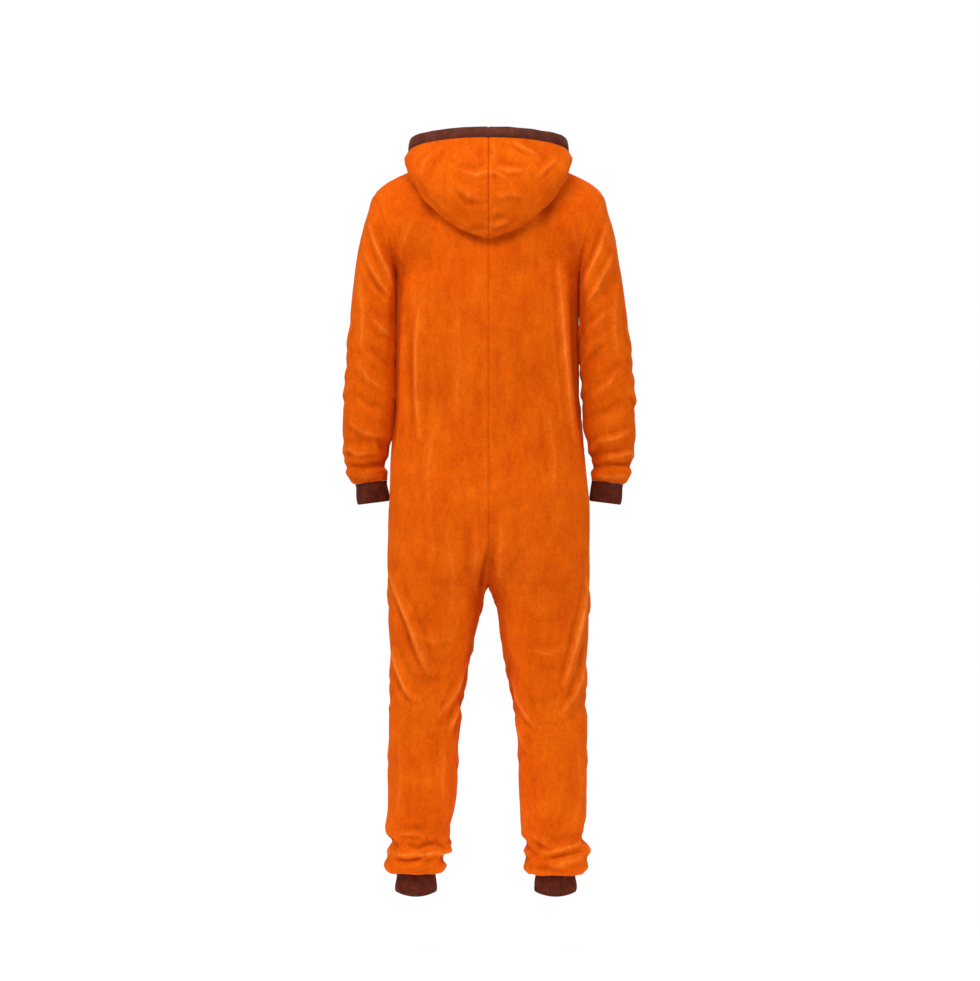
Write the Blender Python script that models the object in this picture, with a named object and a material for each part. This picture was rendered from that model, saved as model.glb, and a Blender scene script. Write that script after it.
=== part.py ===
"""Hooded adult onesie in plush fleece with rib-knit cuffs, in its worn, hollow form.

Metres, +Z up. The front faces -Y and the wearer's left is at +X. The origin is the
middle of the neck opening, at shoulder height, where the garment hangs on its wearer.
"""
import math

import bmesh
import bpy
import numpy as np
from mathutils import Matrix, Vector

# Driving dimensions, in metres
FLEECE = 0.003             # thickness of the fleece wall
RIB_WALL = 0.0025          # thickness of the rib knit
SEAM_GAP = 0.0003          # distance between two pieces at their seam
SQUARENESS = 0.86          # 1 gives elliptic sections, less gives squarer ones

YOKE_ROWS = 8              # rows of cells from the shoulder seam to the underarm
PANEL_COLUMNS = 9          # columns of cells from the centre seam to the side seam
NECK_COLUMNS = 4           # how many of these lie on the neckline

SHOULDER_Z = -0.044        # height of the shoulder point
UNDERARM_Z = -0.220        # height of the armhole's lowest point
NAPE = (0.072, 0.020)      # y and z of the neckline at the centre back
THROAT = (-0.098, -0.080)  # y and z of the neckline at the centre front
NECK_SIDE = (0.092, 0.004, 0.034)   # where the neckline meets the shoulder seam
ARMHOLE_BACK = 0.082       # how far the armhole reaches behind the side seam
ARMHOLE_FRONT = 0.074      # and in front of it
UNDERARM_POINT = 1.6       # lower values make the armhole narrower at the underarm

ZIP_HALF_GAP = 0.0032      # half the distance between the front edges along the zip
ZIP_BOTTOM = -0.705        # height where the zip ends and the front seam starts
TAPE_WIDTH = 0.013         # zip tape seen inside, each side
TAPE = 0.001               # thickness of the zip tape
CHAIN_HALF_WIDTH = 0.0028
CHAIN_DEPTH = 0.0024

BAND_WIDTH = 0.023         # folded band round the face opening
BAND_DEPTH = 0.0052        # its doubled thickness

WRIST_RIBS = 26
ANKLE_RIBS = 30
RIB_HEIGHT = 0.0008

# Shoulder seam from the neck to the armhole: x, z
SHOULDER = [
    (0.092, 0.034), (0.125, 0.021), (0.161, 0.003), (0.191, -0.012),
    (0.217, -0.029), (0.231, -0.044),
]

# Body and legs, one row a height. The outer and inner x are given for the left and
# right side, back and front are depths from the side seam, and cleft grows from 0
# (one tube) to 1 (two legs).
#  z, left_out, right_out, left_in, right_in, back, front, cleft
BODY = [
    (-0.220, 0.187, 0.182, 0.000, 0.000, 0.118, 0.112, 0.00),
    (-0.256, 0.187, 0.182, 0.000, 0.000, 0.120, 0.115, 0.00),
    (-0.356, 0.187, 0.181, 0.000, 0.000, 0.117, 0.116, 0.00),
    (-0.456, 0.187, 0.183, 0.000, 0.000, 0.110, 0.112, 0.00),
    (-0.516, 0.190, 0.186, 0.000, 0.000, 0.110, 0.110, 0.00),
    (-0.576, 0.195, 0.192, 0.000, 0.000, 0.117, 0.109, 0.00),
    (-0.656, 0.200, 0.202, 0.000, 0.000, 0.131, 0.108, 0.00),
    (-0.716, 0.202, 0.203, 0.000, 0.000, 0.134, 0.105, 0.08),
    (-0.756, 0.203, 0.203, 0.000, 0.000, 0.133, 0.102, 0.30),
    (-0.790, 0.203, 0.203, 0.000, 0.000, 0.128, 0.098, 0.62),
    (-0.812, 0.202, 0.203, 0.000, 0.000, 0.123, 0.096, 0.87),
    (-0.830, 0.202, 0.203, 0.000, 0.000, 0.118, 0.095, 1.00),
    (-0.838, 0.202, 0.203, 0.006, 0.007, 0.116, 0.095, 1.00),
    (-0.856, 0.201, 0.203, 0.011, 0.013, 0.113, 0.094, 1.00),
    (-0.896, 0.201, 0.201, 0.019, 0.020, 0.108, 0.092, 1.00),
    (-0.936, 0.199, 0.199, 0.029, 0.025, 0.103, 0.090, 1.00),
    (-0.976, 0.197, 0.197, 0.037, 0.033, 0.098, 0.088, 1.00),
    (-1.016, 0.197, 0.196, 0.045, 0.040, 0.093, 0.087, 1.00),
    (-1.056, 0.197, 0.195, 0.053, 0.048, 0.090, 0.084, 1.00),
    (-1.096, 0.199, 0.196, 0.057, 0.053, 0.088, 0.080, 1.00),
    (-1.136, 0.201, 0.197, 0.061, 0.059, 0.088, 0.076, 1.00),
    (-1.216, 0.202, 0.197, 0.063, 0.061, 0.091, 0.068, 1.00),
    (-1.256, 0.201, 0.197, 0.065, 0.063, 0.090, 0.065, 1.00),
    (-1.296, 0.204, 0.195, 0.074, 0.065, 0.085, 0.064, 1.00),
    (-1.316, 0.207, 0.190, 0.079, 0.066, 0.079, 0.063, 1.00),
    (-1.338, 0.197, 0.192, 0.075, 0.071, 0.070, 0.062, 1.00),
    (-1.356, 0.198, 0.201, 0.077, 0.077, 0.070, 0.064, 1.00),
    (-1.376, 0.205, 0.199, 0.092, 0.073, 0.066, 0.063, 1.00),
    (-1.392, 0.197, 0.190, 0.096, 0.082, 0.054, 0.052, 1.00),
    (-1.404, 0.186, 0.176, 0.105, 0.093, 0.042, 0.041, 1.00),
]

# Heights of the body's rows below the underarm
BODY_ROWS = [
    -0.220, -0.250, -0.290, -0.335, -0.380, -0.425, -0.470, -0.515, -0.560, -0.605,
    -0.650, -0.695, -0.730, -0.758, -0.782, -0.802, -0.818, -0.830, -0.842, -0.864,
    -0.896, -0.936, -0.976, -1.016, -1.056, -1.100, -1.150, -1.200, -1.250, -1.290,
    -1.316, -1.338, -1.357, -1.376, -1.392, -1.404,
]

# Sleeves, one row a ring: the outer point and the inner point of each ring, its
# half depth and how far forward its middle lies
#  left_out, right_out, out_z, left_in, right_in, in_z, half_depth, forward
SLEEVE = [
    (0.242, 0.240, -0.074, 0.1895, 0.187, -0.238, 0.078, 0.000),
    (0.252, 0.251, -0.110, 0.1900, 0.187, -0.262, 0.077, 0.000),
    (0.261, 0.258, -0.150, 0.1900, 0.187, -0.292, 0.075, 0.000),
    (0.269, 0.266, -0.200, 0.1900, 0.187, -0.326, 0.073, 0.001),
    (0.275, 0.275, -0.256, 0.1900, 0.187, -0.362, 0.071, 0.002),
    (0.280, 0.281, -0.310, 0.1900, 0.187, -0.398, 0.069, 0.003),
    (0.285, 0.287, -0.360, 0.1905, 0.187, -0.434, 0.067, 0.004),
    (0.289, 0.293, -0.408, 0.1915, 0.188, -0.468, 0.065, 0.006),
    (0.291, 0.295, -0.452, 0.1940, 0.191, -0.500, 0.063, 0.008),
    (0.293, 0.295, -0.492, 0.1980, 0.196, -0.530, 0.061, 0.011),
    (0.293, 0.297, -0.530, 0.2030, 0.203, -0.556, 0.058, 0.014),
    (0.291, 0.291, -0.560, 0.2065, 0.208, -0.577, 0.054, 0.017),
    (0.290, 0.289, -0.584, 0.2080, 0.210, -0.592, 0.050, 0.019),
    (0.284, 0.284, -0.603, 0.2065, 0.210, -0.602, 0.044, 0.020),
    (0.268, 0.271, -0.6235, 0.2045, 0.208, -0.6155, 0.033, 0.020),
]

# Cuffs below their seams: how far down, and how much wider than at the seam
#  down, wider
WRIST_PROFILE = [(0.0, 0.000), (0.012, 0.0008), (0.030, 0.0004), (0.0415, -0.0010)]
ANKLE_PROFILE = [(0.0, -0.0012), (0.014, 0.0002), (0.034, 0.0016), (0.0450, 0.0000)]
WRIST_DRIFT = (0.02, -0.06)    # how far a wrist cuff leans out and forward, a metre down

# Hood, lying down on the back, one row a station from the centre back (0) round the
# neck to the centre front (1): the lowest line of its pouch, its face edge, how far
# the outer layer bellies out, the pouch's rounding, how far its inner side turns up
# again (1) or runs on down (-1), and the band's lean to the neck
#  station, fold_x, fold_y, fold_z, rim_x, rim_y, rim_z, belly, rounding, turn_up, lean
HOOD = [
    (0.00, 0.000, 0.136, -0.130, 0.000, 0.124, 0.067, 0.032, 0.010, 1.0, 0.45),
    (0.12, 0.055, 0.133, -0.112, 0.052, 0.121, 0.066, 0.031, 0.010, 1.0, 0.45),
    (0.25, 0.105, 0.120, -0.078, 0.104, 0.106, 0.061, 0.027, 0.010, 1.0, 0.42),
    (0.38, 0.141, 0.088, -0.035, 0.143, 0.075, 0.053, 0.018, 0.009, 1.0, 0.36),
    (0.50, 0.155, 0.036, 0.010, 0.160, 0.030, 0.042, 0.008, 0.007, 1.0, 0.30),
    (0.62, 0.142, -0.026, 0.006, 0.150, -0.034, 0.028, 0.005, 0.006, 0.7, 0.24),
    (0.75, 0.108, -0.080, -0.018, 0.118, -0.090, 0.002, 0.003, 0.005, 0.0, 0.16),
    (0.88, 0.060, -0.109, -0.046, 0.063, -0.122, -0.028, 0.001, 0.004, -0.7, 0.08),
    (1.00, 0.000, -0.112, -0.062, 0.000, -0.125, -0.044, 0.000, 0.004, -1.0, 0.00),
]
HOOD_ROWS = 15             # rows of cells from the face edge to the neckline

# Largest folds, each a soft ridge (or a trough, where its height is negative) along
# a line seen from one side. On the back and front, across is x; on the sides it is y.
#  part, side, across_1, z_1, across_2, z_2, half_width, height
FOLDS = [
    ("sleeve", "back", 0.237, -0.108, 0.193, -0.228, 0.010, 0.0050),
    ("sleeve", "back", 0.224, -0.100, 0.196, -0.180, 0.008, -0.0030),
    ("sleeve", "back", 0.246, -0.166, 0.200, -0.250, 0.011, 0.0040),
    ("sleeve", "back", -0.236, -0.110, -0.192, -0.224, 0.010, 0.0045),
    ("sleeve", "back", -0.247, -0.170, -0.202, -0.262, 0.011, 0.0040),
    ("sleeve", "back", 0.286, -0.500, 0.212, -0.540, 0.011, 0.0035),
    ("sleeve", "back", -0.290, -0.520, -0.212, -0.548, 0.011, 0.0035),
    ("sleeve", "front", 0.280, -0.340, 0.215, -0.390, 0.013, 0.0040),
    ("sleeve", "front", -0.282, -0.350, -0.215, -0.400, 0.013, 0.0040),
    ("sleeve", "front", 0.284, -0.430, 0.208, -0.450, 0.011, -0.0030),
    ("sleeve", "front", -0.286, -0.440, -0.208, -0.462, 0.011, -0.0030),
    ("body", "back", 0.196, -0.796, 0.134, -0.966, 0.015, 0.0050),
    ("body", "back", 0.176, -0.780, 0.112, -0.930, 0.014, -0.0035),
    ("body", "back", 0.194, -0.956, 0.160, -1.020, 0.014, 0.0050),
    ("body", "back", 0.040, -0.972, 0.088, -1.070, 0.014, 0.0050),
    ("body", "back", 0.050, -1.010, 0.078, -1.100, 0.010, -0.0040),
    ("body", "back", -0.200, -0.860, -0.146, -1.050, 0.016, 0.0050),
    ("body", "back", -0.184, -0.820, -0.130, -0.960, 0.014, -0.0035),
    ("body", "back", -0.036, -1.016, -0.070, -1.100, 0.014, 0.0050),
    ("body", "back", -0.060, -1.140, -0.100, -1.210, 0.013, -0.0035),
    ("body", "front", 0.090, -0.240, 0.130, -0.640, 0.024, 0.0040),
    ("body", "front", -0.086, -0.260, -0.126, -0.620, 0.024, 0.0040),
    ("body", "front", 0.030, -0.800, 0.150, -0.720, 0.016, 0.0045),
    ("body", "front", -0.030, -0.800, -0.150, -0.726, 0.016, 0.0045),
    ("body", "front", 0.060, -1.030, 0.170, -1.060, 0.016, -0.0045),
    ("body", "front", -0.060, -1.040, -0.170, -1.072, 0.016, -0.0045),
    ("body", "left", -0.050, -1.050, 0.050, -1.090, 0.016, 0.0040),
    ("body", "right", -0.050, -1.060, 0.050, -1.100, 0.016, 0.0040),
]
FACING = {
    "back": (0.0, 1.0, 0.0), "front": (0.0, -1.0, 0.0),
    "left": (1.0, 0.0, 0.0), "right": (-1.0, 0.0, 0.0),
}

# Zip slider and pull, in their own frame: x across, y down the chain, z outward
SLIDER_LENGTH = 0.011
SLIDER_WIDTH = 0.0092
SLIDER_PLATE = 0.0020
SLIDER_LIFT = 0.0006       # how far the plate stands off the cloth
BRIDGE_WIDTH = 0.0024
BRIDGE_HEIGHT = 0.0046
BRIDGE_SPAN = 0.0072
BRIDGE_BAR = 0.0010
PULL_WIDTH = 0.0072
PULL_LENGTH = 0.030
PULL_DEPTH = 0.0014
PULL_BAR = 0.0014          # the pull's bar, which turns inside the bridge
PULL_SLOT = 0.0070         # length of the slot below it
PULL_CLEARANCE = 0.0005    # between the slot's sides and the bridge
SLIDER_TOP = -0.089        # height of the slider's upper end


def columns(table, names):
    """A table's columns as arrays, by name."""
    return dict(zip(names.split(), np.array(table, dtype=float).T))


def smooth(at, places, values):
    """A smooth curve through the table's values (Catmull-Rom slopes)."""
    if places[0] > places[-1]:
        places, values = places[::-1], values[::-1]
    slopes = np.gradient(values, places)
    i = np.clip(np.searchsorted(places, at) - 1, 0, len(places) - 2)
    span = places[i + 1] - places[i]
    t = (at - places[i]) / span
    return ((2 * t**3 - 3 * t**2 + 1) * values[i] + (t**3 - 2 * t**2 + t) * span * slopes[i]
            + (3 * t**2 - 2 * t**3) * values[i + 1] + (t**3 - t**2) * span * slopes[i + 1])


def unit(vectors):
    """The same vectors at length 1."""
    return vectors / np.maximum(np.linalg.norm(vectors, axis=-1, keepdims=True), 1e-12)


def power(value, exponent):
    """A power that keeps the sign."""
    return np.sign(value) * np.abs(value) ** exponent


def armhole(side, face):
    """Half of an armhole, from the shoulder point down to the underarm."""
    turn = np.linspace(0.0, math.pi, YOKE_ROWS + 1)
    z = (SHOULDER_Z + UNDERARM_Z) / 2 + (SHOULDER_Z - UNDERARM_Z) / 2 * np.cos(turn)
    rise = (z - UNDERARM_Z) / (SHOULDER_Z - UNDERARM_Z)
    low = BODY[0][1] if side > 0 else BODY[0][2]
    x = low + (SHOULDER[-1][0] - low) * rise**2
    depth = ARMHOLE_BACK if face > 0 else -ARMHOLE_FRONT
    pointed = 1 - np.abs(np.cos(turn)) ** UNDERARM_POINT
    y = depth * np.where(turn < math.pi / 2, np.sin(turn), pointed)
    y[-1] = 0.0
    return np.stack([side * x, y, z], axis=-1)


def neckline(side, face):
    """Half of the neckline, from the centre to the shoulder seam."""
    turn = np.linspace(0.0, math.pi / 2, NECK_COLUMNS + 1)
    end_y, end_z = NAPE if face > 0 else THROAT
    x = side * NECK_SIDE[0] * np.sin(turn)
    y = NECK_SIDE[1] + (end_y - NECK_SIDE[1]) * np.cos(turn)
    z = NECK_SIDE[2] + (end_z - NECK_SIDE[2]) * np.cos(turn) ** 1.3
    x[0] = 0.0
    return np.stack([x, y, z], axis=-1)


def shoulder_seam(side):
    """The shoulder seam, from the neckline to the shoulder point."""
    seam = columns(SHOULDER, "x z")
    x = np.linspace(seam["x"][0], seam["x"][-1], PANEL_COLUMNS - NECK_COLUMNS + 1)
    z = smooth(x, seam["x"], seam["z"])
    y = np.linspace(NECK_SIDE[1], 0.0, len(x))
    return np.stack([side * x, y, z], axis=-1)


def body_section(side, face, z):
    """One row of a body panel, from the centre seam or inseam to the side seam."""
    body = columns(BODY, "z left_out right_out left_in right_in back front cleft")
    hand = "left" if side > 0 else "right"
    outer = smooth(z, body["z"], body[hand + "_out"])
    inner = np.interp(-z, -body["z"], body[hand + "_in"])
    depth = smooth(z, body["z"], body["back" if face > 0 else "front"])
    cleft = np.interp(-z, -body["z"], body["cleft"])
    radius = (outer - inner) / (1 + cleft)
    start = math.acos(-(cleft ** (1 / SQUARENESS)))
    turn = np.linspace(start, 0.0, PANEL_COLUMNS + 1)
    x = outer - radius + radius * power(np.cos(turn), SQUARENESS)
    y = face * depth * np.abs(np.sin(turn)) ** SQUARENESS
    x[0] = inner
    if cleft >= 1.0:
        y[0] = 0.0
    y[-1] = 0.0
    return np.stack([side * x, y, np.full_like(x, z)], axis=-1)


def yoke(side, face):
    """The panel above the underarm, spanned between its four edges."""
    top = np.concatenate([neckline(side, face), shoulder_seam(side)[1:]])
    bottom = body_section(side, face, UNDERARM_Z)
    outer = armhole(side, face)
    down = np.linspace(0.0, 1.0, YOKE_ROWS + 1)
    centre = top[0] + (bottom[0] - top[0]) * down[:, None]
    centre[:, 1] = top[0, 1] + (bottom[0, 1] - top[0, 1]) * (1 - (1 - down) ** 1.8)
    across = np.linspace(0.0, 1.0, PANEL_COLUMNS + 1)[None, :, None]
    s = down[:, None, None]
    patch = ((1 - s) * top[None] + s * bottom[None] + (1 - across) * centre[:, None]
             + across * outer[:, None])
    corners = ((1 - s) * (1 - across) * top[0] + s * (1 - across) * bottom[0]
               + (1 - s) * across * top[-1] + s * across * bottom[-1])
    grid = patch - corners
    grid[0], grid[-1], grid[:, -1] = top, bottom, outer
    grid[:, 0, 0] = 0.0
    return grid


def body_panel(side, face):
    """A back or front panel, from the shoulder to the ankle."""
    rows = [body_section(side, face, z) for z in BODY_ROWS[1:]]
    return np.concatenate([yoke(side, face), np.array(rows)])


def ring(outer, inner, half_depth, forward, count):
    """A closed section between its outer and inner point, from the outer one backward."""
    turn = np.arange(count) * 2 * math.pi / count
    middle, half = (outer + inner) / 2, (outer - inner) / 2
    points = middle + half * power(np.cos(turn), SQUARENESS)[:, None]
    points[:, 1] += half_depth * power(np.sin(turn), SQUARENESS) - forward
    return points


def sleeve(side):
    """A sleeve, from the armhole to the wrist seam."""
    back, front = armhole(side, 1), armhole(side, -1)
    first = np.concatenate([back, front[-2:0:-1]])
    count = len(first)
    names = "left_out right_out out_z left_in right_in in_z half_depth forward"
    hand = "left" if side > 0 else "right"
    table = columns(SLEEVE, names)
    rings = [first]
    plain = ring(first[0], first[count // 2], (ARMHOLE_BACK + ARMHOLE_FRONT) / 2, 0.0, count)
    for i in range(len(SLEEVE)):
        outer = np.array([side * table[hand + "_out"][i], 0.0, table["out_z"][i]])
        inner = np.array([side * table[hand + "_in"][i], 0.0, table["in_z"][i]])
        points = ring(outer, inner, table["half_depth"][i], table["forward"][i], count)
        points += (first - plain) * max(0.0, 0.62 - 0.22 * i)
        rings.append(points)
    return np.array(rings)


def surface_normals(grids, signs):
    """Outward normals at each grid's points: averaged where pieces share a point, and own.

    Where a sleeve meets the body, each of the two counts the same, however the faces lie.
    """
    sums, totals = {}, {}
    for name, grid in grids.items():
        ring_like = name.startswith("sleeve")
        points = np.concatenate([grid, grid[:, :1]], axis=1) if ring_like else grid
        across = points[:-1, 1:] - points[1:, :-1]
        down = points[1:, 1:] - points[:-1, :-1]
        faces = signs[name] * np.cross(across, down)
        total = np.zeros_like(points)
        for rows, cols in ((0, 0), (0, 1), (1, 0), (1, 1)):
            total[rows:rows + faces.shape[0], cols:cols + faces.shape[1]] += faces
        if ring_like:
            total[:, 0] += total[:, -1]
            total = total[:, :-1]
        sums[name] = total
        for key, normal in zip(point_keys(grid), total.reshape(-1, 3)):
            parts = totals.setdefault(key, [np.zeros(3), np.zeros(3)])
            parts[ring_like] += normal
    shared = {}
    for name, grid in grids.items():
        means = [sum(unit(part) for part in totals[key]) for key in point_keys(grid)]
        shared[name] = unit(np.array(means).reshape(grid.shape))
    return shared, {name: unit(total) for name, total in sums.items()}


def point_keys(grid):
    """Names for a grid's points that are the same where two pieces share a point."""
    return map(bytes, np.round(grid, 6).reshape(-1, 3) + 0.0)


def fold_rise(points, normals, part):
    """How far the folds lift each point of a part's surface."""
    rise = np.zeros(points.shape[:-1])
    for fold_part, side, a1, z1, a2, z2, half_width, height in FOLDS:
        if fold_part != part:
            continue
        facing = np.maximum(normals @ np.array(FACING[side]), 0.0)
        flat = points[..., [0, 2]] if side in ("back", "front") else points[..., [1, 2]]
        start, end = np.array([a1, z1]), np.array([a2, z2])
        along = np.clip((flat - start) @ (end - start) / ((end - start) @ (end - start)), 0, 1)
        away = np.linalg.norm(flat - start - along[..., None] * (end - start), axis=-1)
        rise += height * np.exp(-(away / half_width) ** 2) * facing
    return rise


def end_flat(normals, axis):
    """The last row's normals, turned into the plane of the seam there."""
    normals[-1] = unit(normals[-1] - (normals[-1] @ axis)[:, None] * axis)


def seam_shift(line, inside, shared, own, closed):
    """Unit shifts of a seam's points to one piece's side, square to the seam."""
    def pairs(values):
        after = np.roll(values, -1, axis=0)
        return (values, after) if closed else (values[:-1], after[:-1])

    start, end = pairs(line)
    away = unit(np.cross(end - start, sum(pairs(shared))))
    toward = sum(pairs(unit(inside - line) - own))
    away *= np.where(np.sum(away * toward, axis=1) < 0, -1.0, 1.0)[:, None]
    before = np.roll(away, 1, axis=0) if closed else np.concatenate([away[:1], away])
    after = away if closed else np.concatenate([away, away[-1:]])
    return (before + after) / (1 + np.sum(before * after, axis=1))[:, None]


def pull_back(skin, edges, closed=False):
    """Both skins of a wall, with each named edge moved in from its seam by its amount."""
    outer, inner, shared, own = skin
    shift = np.zeros_like(outer)
    for edge, amount in edges.items():
        near, far = {"top": (0, 1), "first": (0, 1), "last": (-1, -2)}[edge]
        at = (near,) if edge == "top" else (slice(None), near)
        beside = (far,) if edge == "top" else (slice(None), far)
        step = seam_shift(outer[at], outer[beside], shared[at], own[at], closed)
        shift[at] += step * np.reshape(amount, (-1, 1))
    return outer + shift, inner + shift


def material(name, colour, roughness, metallic=0.0):
    """A plain surface; the colour is linear red, green and blue."""
    made = bpy.data.materials.new(name)
    made.use_nodes = True
    shader = made.node_tree.nodes["Principled BSDF"]
    shader.inputs["Base Color"].default_value = (*colour, 1.0)
    shader.inputs["Roughness"].default_value = roughness
    shader.inputs["Metallic"].default_value = metallic
    return made


def add_object(name, points, faces, surface):
    """One closed piece, its faces turned outward."""
    mesh = bpy.data.meshes.new(name)
    mesh.from_pydata([tuple(point) for point in points], [], faces)
    work = bmesh.new()
    work.from_mesh(mesh)
    bmesh.ops.recalc_face_normals(work, faces=work.faces[:])
    work.to_mesh(mesh)
    work.free()
    mesh.shade_smooth()
    mesh.materials.append(surface)
    piece = bpy.data.objects.new(name, mesh)
    bpy.context.scene.collection.objects.link(piece)
    return piece


def wall(name, outer, inner, closed, surface):
    """A cloth wall between two grids of the same size, closed at its edges."""
    rows, cols = outer.shape[:2]
    points = np.concatenate([outer.reshape(-1, 3), inner.reshape(-1, 3)])
    below = rows * cols
    steps = cols if closed else cols - 1
    faces = []

    def quad(a, b, c, d):
        faces.append((a, b, c))
        faces.append((a, c, d))

    def rim(a, b):
        """A cell of the edge, split from its lower outer point, as its neighbour's is."""
        if points[a][2] < points[b][2]:
            quad(a, b, below + b, below + a)
        else:
            quad(b, below + b, below + a, a)

    for row in range(rows - 1):
        for col in range(steps):
            a, b = row * cols + col, row * cols + (col + 1) % cols
            c, d = b + cols, a + cols
            quad(a, b, c, d)
            quad(below + a, below + d, below + c, below + b)
    for row in (0, rows - 1):
        for col in range(steps):
            a, b = row * cols + col, row * cols + (col + 1) % cols
            rim(*((a, b) if row else (b, a)))
    if not closed:
        for col in (0, cols - 1):
            for row in range(rows - 1):
                a, b = row * cols + col, (row + 1) * cols + col
                rim(*((b, a) if col else (a, b)))
    return add_object(name, points, faces, surface)


def body_and_sleeves():
    """Outer skins and normals of the four body panels and the two sleeves."""
    grids, signs, parts = {}, {}, {}
    for hand, side in (("left", 1), ("right", -1)):
        for half, face in (("back", 1), ("front", -1)):
            name = f"{half}_{hand}"
            grids[name], signs[name], parts[name] = body_panel(side, face), side * face, "body"
        name = "sleeve_" + hand
        grids[name], signs[name], parts[name] = sleeve(side), -side, "sleeve"
    normals = surface_normals(grids, signs)[0]
    for name, grid in grids.items():
        rise = fold_rise(grid, normals[name], parts[name])
        rise[-2:] *= np.array([[0.5], [0.0]])
        if parts[name] == "sleeve":
            rise[0] = fold_rise(grid[0], normals[name][0], "body")
        grid += normals[name] * rise[..., None]
    shared, own = surface_normals(grids, signs)
    skins = {}
    for name, grid in grids.items():
        down = wrist_axis(grid) if parts[name] == "sleeve" else np.array([0.0, 0.0, -1.0])
        end_flat(shared[name], down)
        skins[name] = (grid, grid - FLEECE * shared[name], shared[name], own[name])
    return skins


def cut_panels(skins, fleece):
    """The body panels as walls, a seam gap apart, and open along the zip."""
    for name in [n for n in skins if not n.startswith("sleeve")]:
        centre = np.full(len(skins[name][0]), SEAM_GAP / 2)
        if name.startswith("front"):
            centre[skins[name][0][:, 0, 2] > ZIP_BOTTOM] = ZIP_HALF_GAP
        edges = {"first": centre, "last": SEAM_GAP / 2, "top": SEAM_GAP / 2}
        wall(name, *pull_back(skins[name], edges), False, fleece)


def cut_sleeves(skins, fleece):
    """The sleeves as walls, from a seam gap off the armhole to the wrist seam."""
    for name in ("sleeve_left", "sleeve_right"):
        wall(name, *pull_back(skins[name], {"top": SEAM_GAP / 2}, True), True, fleece)


def wrist_axis(grid):
    """The direction down the wrist, square to the sleeve's last ring."""
    last = grid[-1]
    across = last[0] - last[len(last) // 2]
    axis = np.cross(across, np.array([0.0, 1.0, 0.0]))
    return unit(axis if axis[2] < 0 else -axis)


def cuff(name, centre, across, depth, axis, drift, profile, ribs, knit):
    """A rib-knit cuff: ribs raised on the outside, plain inside."""
    turn = np.arange(2 * ribs) * math.pi / ribs
    outward = across * np.cos(turn)[:, None] + depth * np.sin(turn)[:, None]
    crest = np.where(np.arange(2 * ribs) % 2 == 0, RIB_HEIGHT, 0.0)
    outer, inner = [], []
    for down, wider in profile:
        middle = centre + axis * (down + SEAM_GAP) + drift * down
        low = crest * (0.5 if down in (profile[0][0], profile[-1][0]) else 1.0)
        direction = unit(outward)
        outer.append(middle + outward + direction * (wider + low)[:, None])
        inner.append(middle + outward + direction * (wider - RIB_WALL))
    wall(name, np.array(outer), np.array(inner), True, knit)


def cuffs(skins, knit):
    """The two wrist cuffs and the two ankle cuffs."""
    down = np.array([0.0, 0.0, -1.0])
    for hand, side in (("left", 1), ("right", -1)):
        last = skins["sleeve_" + hand][0][-1]
        opposite = last[len(last) // 2]
        axis = wrist_axis(skins["sleeve_" + hand][0])
        depth = np.array([0.0, SLEEVE[-1][6], 0.0])
        drift = np.array([side * WRIST_DRIFT[0], WRIST_DRIFT[1], 0.0])
        cuff("wrist_cuff_" + hand, (last[0] + opposite) / 2, (last[0] - opposite) / 2, depth,
             axis, drift, WRIST_PROFILE, WRIST_RIBS, knit)
        outer, inner = (BODY[-1][1], BODY[-1][3]) if side > 0 else (BODY[-1][2], BODY[-1][4])
        centre = np.array([side * (outer + inner) / 2, 0.0, BODY[-1][0]])
        across = np.array([side * (outer - inner) / 2, 0.0, 0.0])
        cuff("ankle_cuff_" + hand, centre, across, np.array([0.0, BODY[-1][5], 0.0]),
             down, np.zeros(3), ANKLE_PROFILE, ANKLE_RIBS, knit)


def through(points, count):
    """A smooth curve through a few points, evenly divided along its length."""
    steps = np.linalg.norm(np.diff(points, axis=0), axis=1) ** 0.5
    places = np.concatenate([[0.0], np.cumsum(steps)])
    fine = np.linspace(0.0, places[-1], 240)
    curve = np.stack([smooth(fine, places, points[:, i]) for i in range(3)], axis=-1)
    length = np.concatenate([[0.0], np.cumsum(np.linalg.norm(np.diff(curve, axis=0), axis=1))])
    even = np.linspace(0.0, length[-1], count + 1)
    return np.stack([np.interp(even, length, curve[:, i]) for i in range(3)], axis=-1)


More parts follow.
